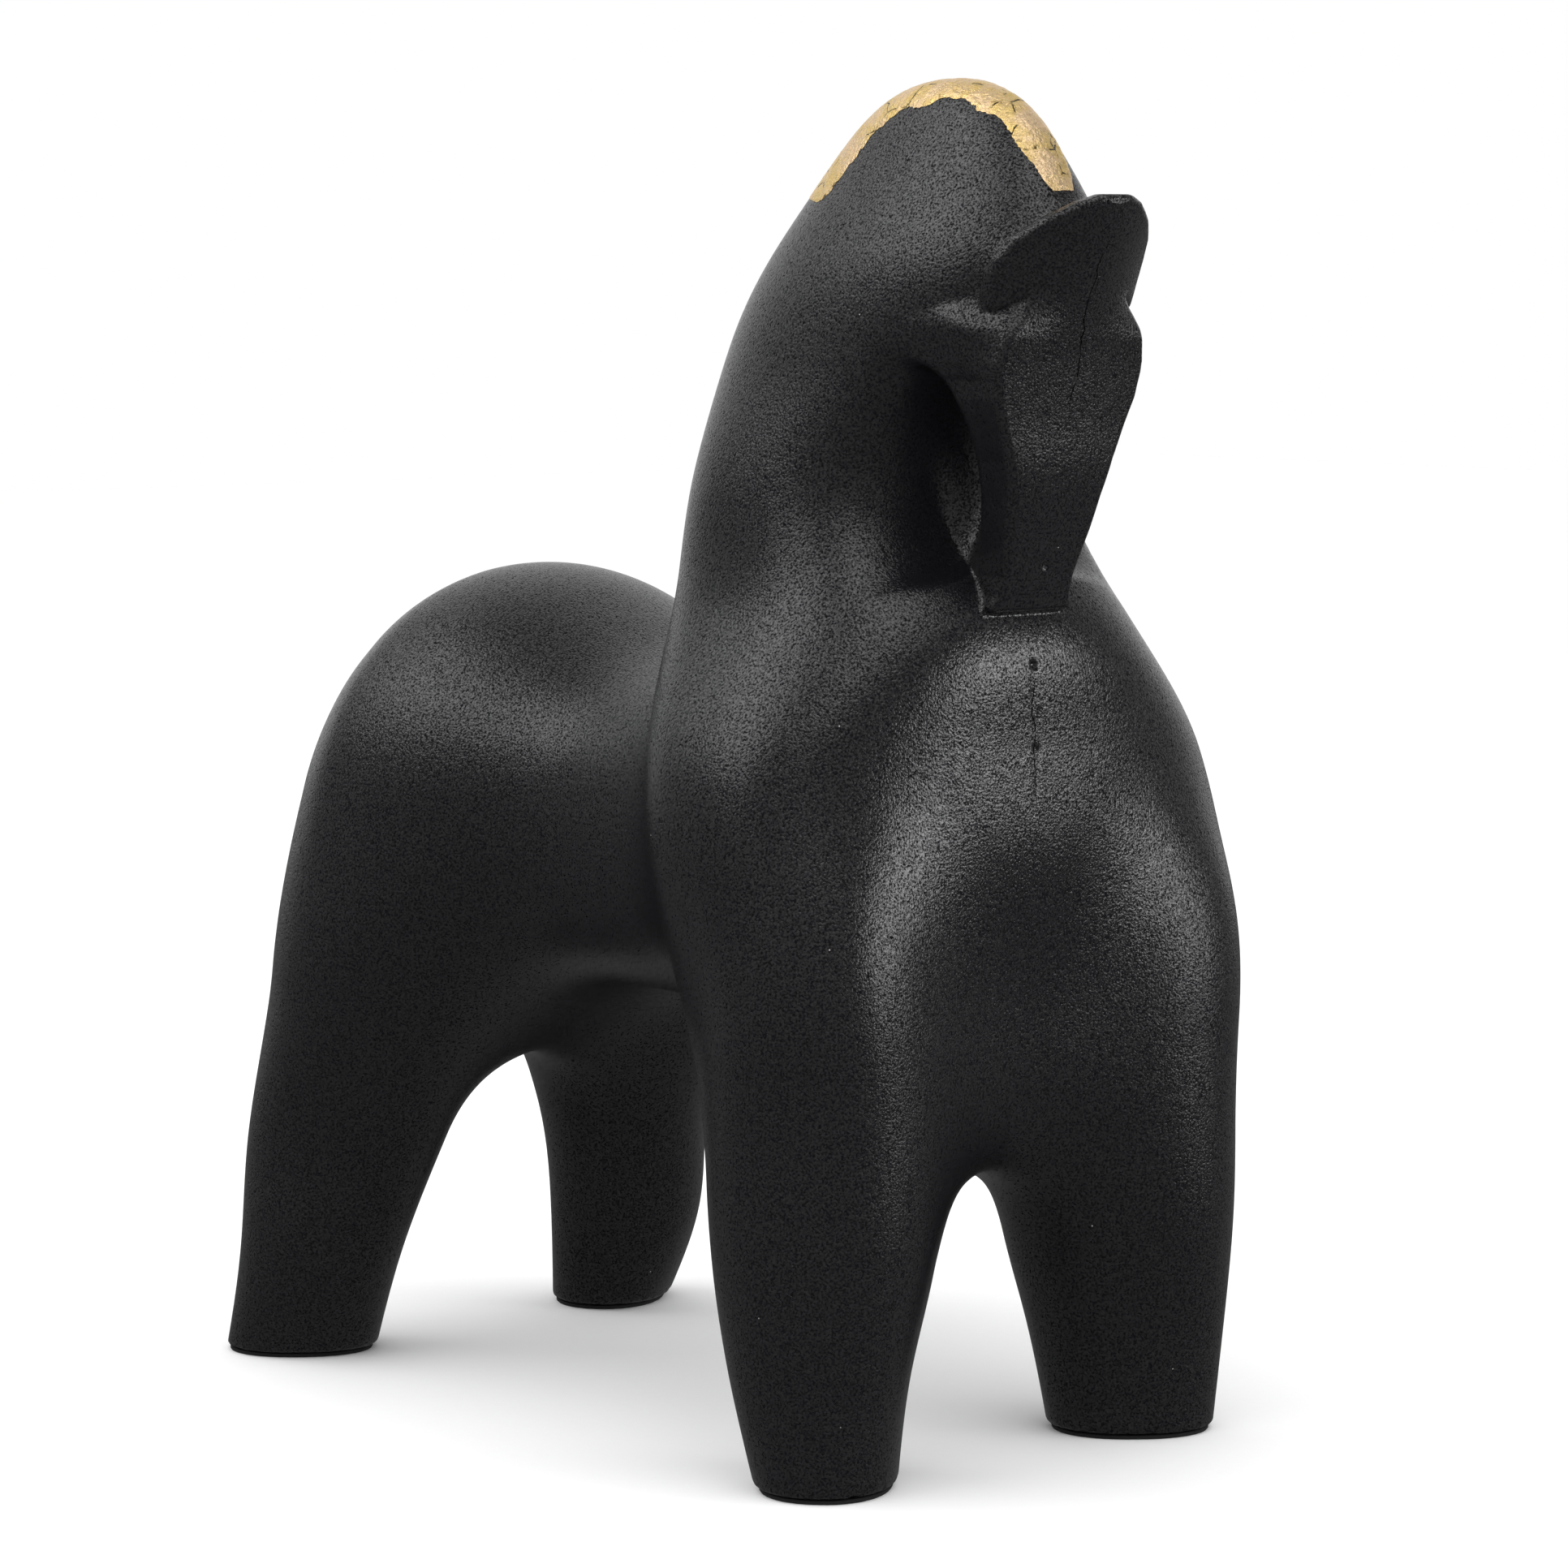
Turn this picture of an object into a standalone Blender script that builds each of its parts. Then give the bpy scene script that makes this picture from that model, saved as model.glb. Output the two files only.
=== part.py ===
"""Resin horse figurine: a hollow casting, its pour plug, the gold leaf on its crest and four foot pads.

Sizes are in millimetres until place() turns them into metres. The horse faces -Y, +X is its own left side,
it stands on Z = 0, and Y is counted from the front feet until place() centres the piece.
"""

import bmesh
import bpy
import numpy as np
from mathutils import Vector
from mathutils.bvhtree import BVHTree

# Overall sizes
MIDDLE_Y = 82.6
WALL = 6.5
JOINT_GAP = 0.3
PAD_THICKNESS = 0.9
PAD_INSET = 0.9
POUR_HOLE_RADIUS = 5.5
LEAF_THICKNESS = 0.6
EAR_THICKNESS = 4.4
EDGE_ROUNDING = 1.4
NET_STEP = 2.0
CAVITY_STEP = 4.0
OUTSIDE_TRIANGLES = 7000
CAVITY_TRIANGLES = 1700
ROUND_SIDES = 32

# Chest and neck: height, half width, centre Y, half depth
FRONT_MASS = (
    (51.0, 49.5, 5.5, 19.5),
    (76.0, 52.0, 9.0, 23.5),
    (101.5, 57.0, 11.2, 26.2),
    (120.0, 66.0, 12.8, 29.2),
    (135.5, 71.0, 14.0, 31.2),
    (161.0, 65.5, 19.0, 35.2),
    (186.5, 49.0, 28.0, 40.5),
    (212.0, 42.5, 34.5, 34.0),
    (237.0, 34.0, 27.0, 42.5),
    (262.5, 27.5, 15.0, 46.5),
    (284.5, 19.5, 11.5, 43.5),
    (301.5, 17.5, 9.5, 45.5),
)
# How square the chest and neck are in plan: height, exponent
FRONT_SQUARENESS = ((59.5, 2.61), (152.5, 2.74), (220.0, 2.34), (288.0, 2.16))
FRONT_DOME_FROM, FRONT_TOP = 241.5, 300.0
FRONT_BELLY_FROM, FRONT_BOTTOM = 99.5, 62.5

# Rump: height, half width, centre Y, half depth
REAR_MASS = (
    (71.0, 50.5, 163.0, 22.0),
    (101.5, 54.0, 158.0, 32.5),
    (135.5, 57.5, 154.5, 40.5),
    (169.5, 52.5, 153.0, 41.5),
)
REAR_SQUARENESS = 2.0
REAR_DOME_FROM, REAR_TOP = 137.0, 187.5
REAR_BELLY_FROM, REAR_BOTTOM = 110.0, 71.5

# Barrel: Y, half width, centre height, half height
BARREL = (
    (25.5, 49.0, 129.5, 41.0),
    (59.5, 44.0, 130.5, 39.0),
    (93.0, 41.5, 130.5, 37.5),
    (127.0, 45.5, 132.0, 38.5),
    (161.0, 53.0, 136.0, 41.0),
)
BARREL_MIDDLE, BARREL_STRAIGHT, BARREL_ROUND = 93.0, 59.5, 25.5

# Legs: height, centre X, centre Y, long half width, short half width
FRONT_LEG = (
    (0.0, 45.0, -0.5, 18.5, 15.0),
    (25.5, 45.0, 1.5, 22.5, 19.5),
    (51.0, 43.0, 2.5, 26.5, 24.0),
    (84.5, 43.5, 3.5, 27.0, 24.0),
    (135.5, 40.0, 7.0, 35.0, 21.0),
)
FRONT_LEG_TURN = -38.6
REAR_LEG = (
    (0.0, 47.5, 191.0, 18.0, 14.0),
    (25.5, 46.5, 183.5, 19.5, 18.5),
    (51.0, 42.5, 179.0, 23.5, 20.5),
    (84.5, 37.0, 171.5, 27.0, 29.5),
    (135.5, 36.0, 163.0, 28.0, 27.0),
)
REAR_LEG_TURN = 36.6
LEG_DOME_FROM, LEG_DOME = 93.0, 42.5

# How softly the masses run into each other
LEG_BLEND, BARREL_BLEND, WAIST_BLEND = 22.0, 25.5, 32.0

# Face line in the middle plane: height, Y
FACE_LINE = (
    (178.0, -13.3), (187.5, -16.3), (204.5, -22.0), (219.0, -25.8), (226.0, -26.7), (232.5, -27.8),
    (241.0, -29.5), (254.0, -33.4), (260.0, -35.7), (264.0, -37.6), (269.0, -40.0), (278.0, -43.5),
)
# Outline of the ears and of the face below them, right half: X, height
EAR_OUTLINE = (
    (0.0, 275.0), (4.0, 275.0), (8.5, 273.5), (14.5, 270.0), (18.9, 266.0), (20.8, 261.5),
    (21.2, 258.5), (20.9, 254.0), (20.2, 251.2), (18.8, 250.3), (14.3, 253.3),
)
# Where the ears end inside the head
EAR_FOOT = ((9.0, 250.5), (0.0, 247.0))
POLL_OUTLINE = ((0.0, 271.5), (6.0, 270.5), (12.0, 267.5), (17.0, 263.5), (18.8, 258.5), (17.0, 255.0))
FACE_OUTLINE = (
    (14.3, 253.3), (17.2, 249.8), (18.8, 247.0), (20.0, 243.5), (21.0, 240.0), (21.1, 237.5), (20.3, 232.0),
    (18.1, 226.5), (15.3, 219.0), (13.3, 211.0), (12.3, 204.0), (11.0, 197.5), (10.4, 194.0),
    (10.8, 190.0), (12.0, 186.5), (0.0, 186.5),
)
# The ears sweep back this far at this half width, above a root where the sweep sets in
EAR_SWEEP, EAR_HALF_WIDTH, EAR_ROOT, EAR_ROOT_BLEND = 8.0, 20.0, 244.0, 12.0
FACE_CROWN, FACE_HALF_WIDTH = 1.0, 17.0
FACE_LEAN = 18.0
# How much the head narrows behind the face per mm, and how far back: it widens under the ears
CHEEK_TAPER = ((236.0, 0.1), (247.0, -0.45), (252.0, -0.45), (258.0, 0.1))
CHEEK_REACH = 9.0
# Edge of the face, sharper under the ears than down the nose: height, radius
FACE_EDGE = ((205.0, 1.8), (244.0, 1.4))
# How softly the ears run into the neck, the head into the neck beside and above the cheeks, and the
# muzzle into the chest
EAR_BLEND, CHEEK_BLEND, POLL_BLEND, MUZZLE_BLEND = 2.0, 10.0, 4.0, 0.8
# The cheek starts this far behind the face. Its blend grows between the first two heights, fades below
# the third, and halves this deep behind the ears
CHEEK_BACK, MUZZLE_Z, CHEEK_Z, CHEEK_TOP, CHEEK_ROOM, CHEEK_DEPTH = 0.8, 200.0, 232.0, 256.0, 8.0, 14.0

# The pocket between jaw and throat on each side: its middle, half width, and reach above and below the middle
HOLLOW_Y, HOLLOW_Z, HOLLOW_HALF = -5.2, 221.5, 7.3
HOLLOW_RISE, HOLLOW_FALL, HOLLOW_POINT = 17.0, 27.0, 2.0
# It narrows from here inwards, and a web is left between the two pockets
HOLLOW_MOUTH, HOLLOW_WEB = 24.0, 2.5
# Its edge is sharp along the jaw and soft along the throat, and changes between these two Y
JAW_EDGE, THROAT_EDGE, JAW_EDGE_Y, THROAT_EDGE_Y = 2.4, 8.0, -11.0, 2.0

# Gold leaf along the crest: its half width at these angles, which are seen from a point inside the
# crest and count up from the horizontal behind it
LEAF_ANGLES = (30.0, 37.0, 46.0, 60.0, 75.0, 93.0, 108.0, 124.0, 140.0, 148.0)
LEAF_HALF_WIDTHS = (17.5, 18.0, 16.5, 13.0, 10.0, 8.0, 6.8, 5.9, 4.4, 2.8)
LEAF_CENTRE_Y, LEAF_CENTRE_BELOW_TOP = 10.0, 46.0
LEAF_STATIONS, LEAF_ACROSS = 38, 9

SOLE = PAD_THICKNESS + JOINT_GAP
LEAF_CENTRE_Z = FRONT_TOP - LEAF_CENTRE_BELOW_TOP


def curve(table, column, at):
    """Natural cubic spline through one column of a table, held level past its ends."""
    knots = np.array([row[0] for row in table], float)
    values = np.array([row[column] for row in table], float)
    count = len(knots)
    gaps = np.diff(knots)
    matrix = np.eye(count)
    right = np.zeros(count)
    for i in range(1, count - 1):
        matrix[i, i - 1:i + 2] = gaps[i - 1], 2 * (gaps[i - 1] + gaps[i]), gaps[i]
        right[i] = 6 * ((values[i + 1] - values[i]) / gaps[i] - (values[i] - values[i - 1]) / gaps[i - 1])
    bend = np.linalg.solve(matrix, right)
    x = np.clip(at, knots[0], knots[-1])
    i = np.clip(np.searchsorted(knots, x, side="right") - 1, 0, count - 2)
    gap = gaps[i]
    a = (knots[i + 1] - x) / gap
    b = (x - knots[i]) / gap
    return a * values[i] + b * values[i + 1] + ((a**3 - a) * bend[i] + (b**3 - b) * bend[i + 1]) * gap * gap / 6


def ease(value):
    value = np.clip(value, 0, 1)
    return value * value * (3 - 2 * value)


def blend(first, second, width):
    """Smooth union of two distances."""
    near = np.maximum(width - np.abs(first - second), 0) / width
    return np.minimum(first, second) - near * near * width / 4


def cut_by(first, second, width):
    """Smooth intersection of two distances."""
    return -blend(-first, -second, width)


def rounded(p, q, r, a, b, c, power):
    """Distance to a rounded solid of half sizes a, b and c."""
    p = np.abs(p) / a + 1e-9
    q = np.abs(q) / b + 1e-9
    r = np.abs(r) / c + 1e-9
    reach = (p**power + q**power + r**power) ** (1 / power)
    slope = np.sqrt((p ** (power - 1) / a) ** 2 + (q ** (power - 1) / b) ** 2 + (r ** (power - 1) / c) ** 2)
    return (reach - 1) / np.maximum(slope * reach ** (1 - power), 1e-9)


def standing_mass(table, power, dome_from, top, belly_from, bottom, x, y, z):
    past = np.maximum(z - dome_from, 0) + np.maximum(belly_from - z, 0)
    cap = np.where(z > belly_from, top - dome_from, belly_from - bottom)
    return rounded(x, y - curve(table, 2, z), past, curve(table, 1, z), curve(table, 3, z), cap, power)


def leg(table, turn, x, y, z):
    angle = np.radians(turn)
    dx = np.abs(x) - curve(table, 1, z)
    dy = y - curve(table, 2, z)
    long_way = dx * np.cos(angle) + dy * np.sin(angle)
    short_way = dy * np.cos(angle) - dx * np.sin(angle)
    up = np.maximum(z - LEG_DOME_FROM, 0)
    return rounded(long_way, short_way, up, curve(table, 3, z), curve(table, 4, z), LEG_DOME, 2.2)


def body(x, y, z):
    front = standing_mass(FRONT_MASS, curve(FRONT_SQUARENESS, 1, z), FRONT_DOME_FROM, FRONT_TOP,
                          FRONT_BELLY_FROM, FRONT_BOTTOM, x, y, z)
    front = blend(front, leg(FRONT_LEG, FRONT_LEG_TURN, x, y, z), LEG_BLEND)
    rear = standing_mass(REAR_MASS, REAR_SQUARENESS, REAR_DOME_FROM, REAR_TOP,
                         REAR_BELLY_FROM, REAR_BOTTOM, x, y, z)
    rear = blend(rear, leg(REAR_LEG, REAR_LEG_TURN, x, y, z), LEG_BLEND)
    past = np.maximum(np.abs(y - BARREL_MIDDLE) - BARREL_STRAIGHT, 0)
    barrel = rounded(x, z - curve(BARREL, 2, y), past, curve(BARREL, 1, y), curve(BARREL, 3, y), BARREL_ROUND, 2.3)
    return blend(front, blend(rear, barrel, BARREL_BLEND), WAIST_BLEND)


def outline_distance(points, p, q):
    """Signed distance to an outline given by its right half."""
    loop = list(points) + [(-a, b) for a, b in reversed(points) if a > 0]
    away = np.full(p.shape, 1e18)
    inside = np.zeros(p.shape, bool)
    for i, (bx, by) in enumerate(loop):
        ax, ay = loop[i - 1]
        ex, ey = bx - ax, by - ay
        wx, wy = p - ax, q - ay
        t = np.clip((wx * ex + wy * ey) / (ex * ex + ey * ey + 1e-12), 0, 1)
        away = np.minimum(away, (wx - ex * t) ** 2 + (wy - ey * t) ** 2)
        if ey:
            inside ^= ((ay > q) != (by > q)) & (p < ex * (q - ay) / ey + ax)
    return np.where(inside, -1, 1) * np.sqrt(away)


def behind_face(x, y, z, ear):
    """How far a point lies behind the front of the face, swept back as the ears are where the last value is 1."""
    side = np.abs(x)
    sweep = EAR_SWEEP * (side / EAR_HALF_WIDTH) ** 1.8 * ear + FACE_CROWN * (side / FACE_HALF_WIDTH) ** 2 * (1 - ear)
    return np.cos(np.radians(FACE_LEAN)) * (y - curve(FACE_LINE, 1, z) - sweep)


def round_edge(first, second, radius):
    """Intersection of two distances with its edge rounded."""
    first = first + radius
    second = second + radius
    return np.hypot(np.maximum(first, 0), np.maximum(second, 0)) + np.minimum(np.maximum(first, second), 0) - radius


def with_head(away, x, y, z):
    """The body with the face run back into the neck, and the ears as a plate across it."""
    behind = behind_face(x, y, z, ease((z - EAR_ROOT) / EAR_ROOT_BLEND))
    taper = np.interp(z, *zip(*CHEEK_TAPER)) * np.clip(behind, 0, CHEEK_REACH)
    rim = outline_distance(POLL_OUTLINE + FACE_OUTLINE, np.abs(x) + taper, z)
    face = round_edge(rim, -behind, np.interp(z, *zip(*FACE_EDGE)))
    face = np.maximum(face, y - curve(FRONT_MASS, 2, z))
    deep = ease((behind - EAR_THICKNESS) / CHEEK_DEPTH)
    below = CHEEK_BLEND * ease((CHEEK_TOP - z) / CHEEK_ROOM) * (1 - 0.5 * deep)
    soft = ease((z - MUZZLE_Z) / (CHEEK_Z - MUZZLE_Z)) * np.maximum(below, POLL_BLEND * deep)
    cheek = round_edge(blend(away, face, MUZZLE_BLEND + soft), CHEEK_BACK - behind, CHEEK_BACK)
    face = np.minimum(blend(away, face, MUZZLE_BLEND), cheek)
    behind = behind_face(x, y, z, 1)
    rim = outline_distance(EAR_OUTLINE + EAR_FOOT, x, z)
    ears = round_edge(rim, np.abs(behind - EAR_THICKNESS / 2) - EAR_THICKNESS / 2, EDGE_ROUNDING)
    return blend(face, ears, 0.1 + EAR_BLEND * ease(behind / EAR_THICKNESS))


def hollow(x, y, z):
    up = z - HOLLOW_Z
    tall = np.where(up > 0, HOLLOW_RISE, HOLLOW_FALL)
    power = np.where(up > 0, 2.0, HOLLOW_POINT)
    p = np.abs(up) / tall + 1e-6
    q = (y - HOLLOW_Y) / HOLLOW_HALF
    deep = HOLLOW_MOUTH - HOLLOW_WEB
    r = np.maximum(HOLLOW_MOUTH - np.abs(x), 0) / deep
    reach = np.sqrt(p**power + q * q + r**4)
    slope = np.sqrt((power * p ** (power - 1) / (2 * tall)) ** 2 + (q / HOLLOW_HALF) ** 2 + (2 * r**3 / deep) ** 2)
    return (reach - 1) * reach / np.maximum(slope, 1e-9)


def casting_distance(x, y, z):
    """Distance outside the casting, negative inside it."""
    away = body(x, y, z)
    reach = THROAT_EDGE + WALL
    outline = np.array(EAR_OUTLINE + FACE_OUTLINE)
    near = (np.abs(x) < outline[:, 0].max() + reach) & (np.abs(z - outline[:, 1].mean()) < np.ptp(outline[:, 1]))
    near &= (y > FACE_LINE[-1][1] - reach) & (y < max(row[2] for row in FRONT_MASS) + reach)
    away[near] = with_head(away[near], x[near], y[near], z[near])
    near = (np.abs(x) < 2 * HOLLOW_MOUTH) & (np.hypot(y - HOLLOW_Y, z - HOLLOW_Z) < HOLLOW_FALL + reach)
    hole = -hollow(x[near], y[near], z[near])
    edge = JAW_EDGE + (THROAT_EDGE - JAW_EDGE) * ease((y[near] - JAW_EDGE_Y) / (THROAT_EDGE_Y - JAW_EDGE_Y))
    away[near] = cut_by(away[near], hole, edge)
    return away


def part_corners(inside):
    """Grid points inside that would make the net touch itself along an edge or at a point."""
    part = np.zeros(inside.shape, bool)
    for axis in range(3):
        u, v = [k for k in range(3) if k != axis]
        corner = {}
        for du in (0, 1):
            for dv in (0, 1):
                cut = [slice(None)] * 3
                cut[u] = slice(du, inside.shape[u] - 1 + du)
                cut[v] = slice(dv, inside.shape[v] - 1 + dv)
                corner[du, dv] = tuple(cut)
        here = {k: inside[cut] for k, cut in corner.items()}
        crossed = (here[0, 0] == here[1, 1]) & (here[0, 1] == here[1, 0]) & (here[0, 0] != here[0, 1])
        for cut in corner.values():
            part[cut] |= crossed
    corner = {}
    for i in range(8):
        shift = (i >> 2, i >> 1 & 1, i & 1)
        corner[i] = tuple(slice(d, n - 1 + d) for d, n in zip(shift, inside.shape))
    here = [inside[corner[i]] for i in range(8)]
    count = sum(h.astype(int) for h in here)
    for i in range(4):
        pair = here[i] & here[7 - i] & (count == 2) | ~here[i] & ~here[7 - i] & (count == 6)
        for cut in corner.values():
            part[cut] |= pair
    return part & inside


def sampled(field, axes, step):
    """The field on a grid, worked out in full near its surface and at every fourth point elsewhere."""
    skip = 4
    values = field(*np.meshgrid(*(axis[::skip] for axis in axes), indexing="ij"))
    nearest = [np.clip(np.arange(len(axis)) + skip // 2, 0, (n - 1) * skip) // skip for axis, n in zip(axes, values.shape)]
    values = values[np.ix_(*nearest)]
    near = np.abs(values) < 1.6 * skip * step
    grid = np.meshgrid(*axes, indexing="ij")
    values[near] = field(*(along[near] for along in grid))
    return values


def net(field, step):
    """Closed surface where the field is zero, as points and quads, from one point in each grid cell it crosses."""
    widest = max(row[1] for row in FRONT_MASS)
    deepest = REAR_LEG[0][2] + REAR_LEG[0][3]
    room = 4 * step
    low = np.array([-step * np.ceil((widest + room) / step), FACE_LINE[-1][1] - room, SOLE - room])
    high = np.array([-low[0], deepest + room, FRONT_TOP + room])
    axes = [np.arange(a, b + step, step) for a, b in zip(low, high)]
    values = sampled(field, axes, step)
    values[:, :, 0] = step
    while True:
        inside = values < 0
        loose = part_corners(inside)
        if not loose.any():
            break
        values[loose] = 0.1 * step
    cells = tuple(n - 1 for n in values.shape)
    total = np.zeros(cells + (3,))
    count = np.zeros(cells)
    grid = np.indices(values.shape)
    quads = []
    for axis in range(3):
        near = tuple(slice(0, -1) if k == axis else slice(None) for k in range(3))
        far = tuple(slice(1, None) if k == axis else slice(None) for k in range(3))
        crossed = inside[near] != inside[far]
        part = np.where(crossed, values[near] / np.where(crossed, values[near] - values[far], 1), 0)
        u, v = [k for k in range(3) if k != axis]
        for du in (0, 1):
            for dv in (0, 1):
                cut = [slice(None)] * 3
                cut[u] = slice(du, cells[u] + du)
                cut[v] = slice(dv, cells[v] + dv)
                cut = tuple(cut)
                count += crossed[cut]
                for k in range(3):
                    place_on = grid[k][near][cut] + (part[cut] if k == axis else 0)
                    total[..., k] += np.where(crossed[cut], place_on, 0)
    used = count > 0
    index = np.full(cells, -1)
    index[used] = np.arange(used.sum())
    points = total[used] / count[used][:, None] * step + low
    for axis in range(3):
        near = tuple(slice(0, -1) if k == axis else slice(None) for k in range(3))
        far = tuple(slice(1, None) if k == axis else slice(None) for k in range(3))
        found = np.argwhere(inside[near] != inside[far])
        u, v = (axis + 1) % 3, (axis + 2) % 3
        corners = []
        for du, dv in ((-1, -1), (0, -1), (0, 0), (-1, 0)):
            at = found.copy()
            at[:, u] += du
            at[:, v] += dv
            corners.append(index[tuple(at.T)])
        quad = np.stack(corners, 1)
        turned = inside[far][tuple(found.T)]
        quad[turned] = quad[turned][:, ::-1]
        quads.append(quad)
    return points, np.concatenate(quads)


def largest_island(points, faces):
    """The points and faces of the surface's biggest connected piece."""
    label = np.arange(len(points))
    while True:
        lowest = label.copy()
        least = label[faces].min(axis=1)
        for k in range(faces.shape[1]):
            np.minimum.at(lowest, faces[:, k], least)
        lowest = lowest[lowest]
        if (lowest == label).all():
            break
        label = lowest
    biggest = np.bincount(label).argmax()
    keep = label == biggest
    renumber = np.cumsum(keep) - 1
    return points[keep], renumber[faces[keep[faces[:, 0]]]]


def mesh_object(name, points, faces):
    mesh = bpy.data.meshes.new(name)
    mesh.from_pydata([tuple(p) for p in points], [], [tuple(int(i) for i in f) for f in faces])
    bm = bmesh.new()
    bm.from_mesh(mesh)
    bmesh.ops.recalc_face_normals(bm, faces=bm.faces)
    if bm.calc_volume(signed=True) < 0:
        bmesh.ops.reverse_faces(bm, faces=bm.faces)
    bm.to_mesh(mesh)
    bm.free()
    obj = bpy.data.objects.new(name, mesh)
    bpy.context.scene.collection.objects.link(obj)
    return obj


def evaluated(obj):
    """Bakes the object's modifiers into its mesh."""
    bpy.context.view_layer.update()
    graph = bpy.context.evaluated_depsgraph_get()
    baked = bpy.data.meshes.new_from_object(obj.evaluated_get(graph))
    obj.modifiers.clear()
    obj.data = baked
    return obj


def thinned(obj, triangles):
    modifier = obj.modifiers.new("Fewer faces", "DECIMATE")
    modifier.ratio = min(1.0, triangles / (2 * len(obj.data.polygons)))
    return evaluated(obj)


def cut(obj, other, operation):
    modifier = obj.modifiers.new(operation.title(), "BOOLEAN")
    modifier.operation = operation
    modifier.solver = "EXACT"
    modifier.object = other
    evaluated(obj)
    bpy.data.objects.remove(other)
    return obj


def box(low, high):
    corners = [(x, y, z) for x in (low[0], high[0]) for y in (low[1], high[1]) for z in (low[2], high[2])]
    sides = [(0, 1, 3, 2), (4, 6, 7, 5), (0, 4, 5, 1), (2, 3, 7, 6), (0, 2, 6, 4), (1, 5, 7, 3)]
    return mesh_object("box", corners, sides)


def column(name, rim, low, high):
    """Upright prism on a closed rim of (x, y) points."""
    count = len(rim)
    points = [(x, y, low) for x, y in rim] + [(x, y, high) for x, y in rim]
    sides = [(i, (i + 1) % count, count + (i + 1) % count, count + i) for i in range(count)]
    bm = bmesh.new()
    rings = [bm.verts.new(p) for p in points]
    for side in sides:
        bm.faces.new([rings[i] for i in side])
    bm.faces.new(rings[:count][::-1])
    bm.faces.new(rings[count:])
    bmesh.ops.recalc_face_normals(bm, faces=bm.faces)
    mesh = bpy.data.meshes.new(name)
    bm.to_mesh(mesh)
    bm.free()
    obj = bpy.data.objects.new(name, mesh)
    bpy.context.scene.collection.objects.link(obj)
    return obj


def foot_rim(table, turn, side, inset, count):
    """Outline of a foot's sole, drawn in by the inset."""
    _, cx, cy, long_half, short_half = table[0]
    angle = np.radians(turn)
    rim = []
    for t in np.linspace(0, 2 * np.pi, count, endpoint=False):
        p = (long_half - inset) * np.sign(np.cos(t)) * abs(np.cos(t)) ** (2 / 2.2)
        q = (short_half - inset) * np.sign(np.sin(t)) * abs(np.sin(t)) ** (2 / 2.2)
        x = cx + p * np.cos(angle) - q * np.sin(angle)
        y = cy + p * np.sin(angle) + q * np.cos(angle)
        rim.append((side * x, y))
    return rim


def circle(x, y, radius, count):
    return [(x + radius * np.cos(t), y + radius * np.sin(t)) for t in np.linspace(0, 2 * np.pi, count, endpoint=False)]


def make_casting():
    casting = thinned(mesh_object("resin_casting", *net(casting_distance, NET_STEP)), OUTSIDE_TRIANGLES)
    reach = 2 * FRONT_TOP
    cut(casting, box((-reach, -reach, SOLE), (reach, reach, reach)), "INTERSECT")
    floor = SOLE + WALL

    def cavity_distance(x, y, z):
        return np.maximum(casting_distance(x, y, z) + WALL, floor - z)

    points, faces = largest_island(*net(cavity_distance, CAVITY_STEP))
    cut(casting, thinned(mesh_object("cavity", points, faces), CAVITY_TRIANGLES), "DIFFERENCE")
    mouth = column("mouth", circle(*REAR_LEG[0][1:3], POUR_HOLE_RADIUS, ROUND_SIDES), SOLE - WALL, floor + 2 * CAVITY_STEP)
    return cut(casting, mouth, "DIFFERENCE")


def make_plug():
    return column("pour_plug", circle(*REAR_LEG[0][1:3], POUR_HOLE_RADIUS - JOINT_GAP, ROUND_SIDES), SOLE, SOLE + WALL)


def crest_points(x, angle, offset):
    """Points at the offset from the crest, outwards from the leaf's centre at each angle."""
    near = np.zeros(x.shape)
    far = np.full(x.shape, 2 * (FRONT_TOP - LEAF_CENTRE_Z))
    for _ in range(30):
        middle = (near + far) / 2
        y = LEAF_CENTRE_Y + middle * np.cos(angle)
        z = LEAF_CENTRE_Z + middle * np.sin(angle)
        outside = casting_distance(x, y, z) > offset
        far = np.where(outside, middle, far)
        near = np.where(outside, near, middle)
    return np.stack([x, LEAF_CENTRE_Y + near * np.cos(angle), LEAF_CENTRE_Z + near * np.sin(angle)], -1)


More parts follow.
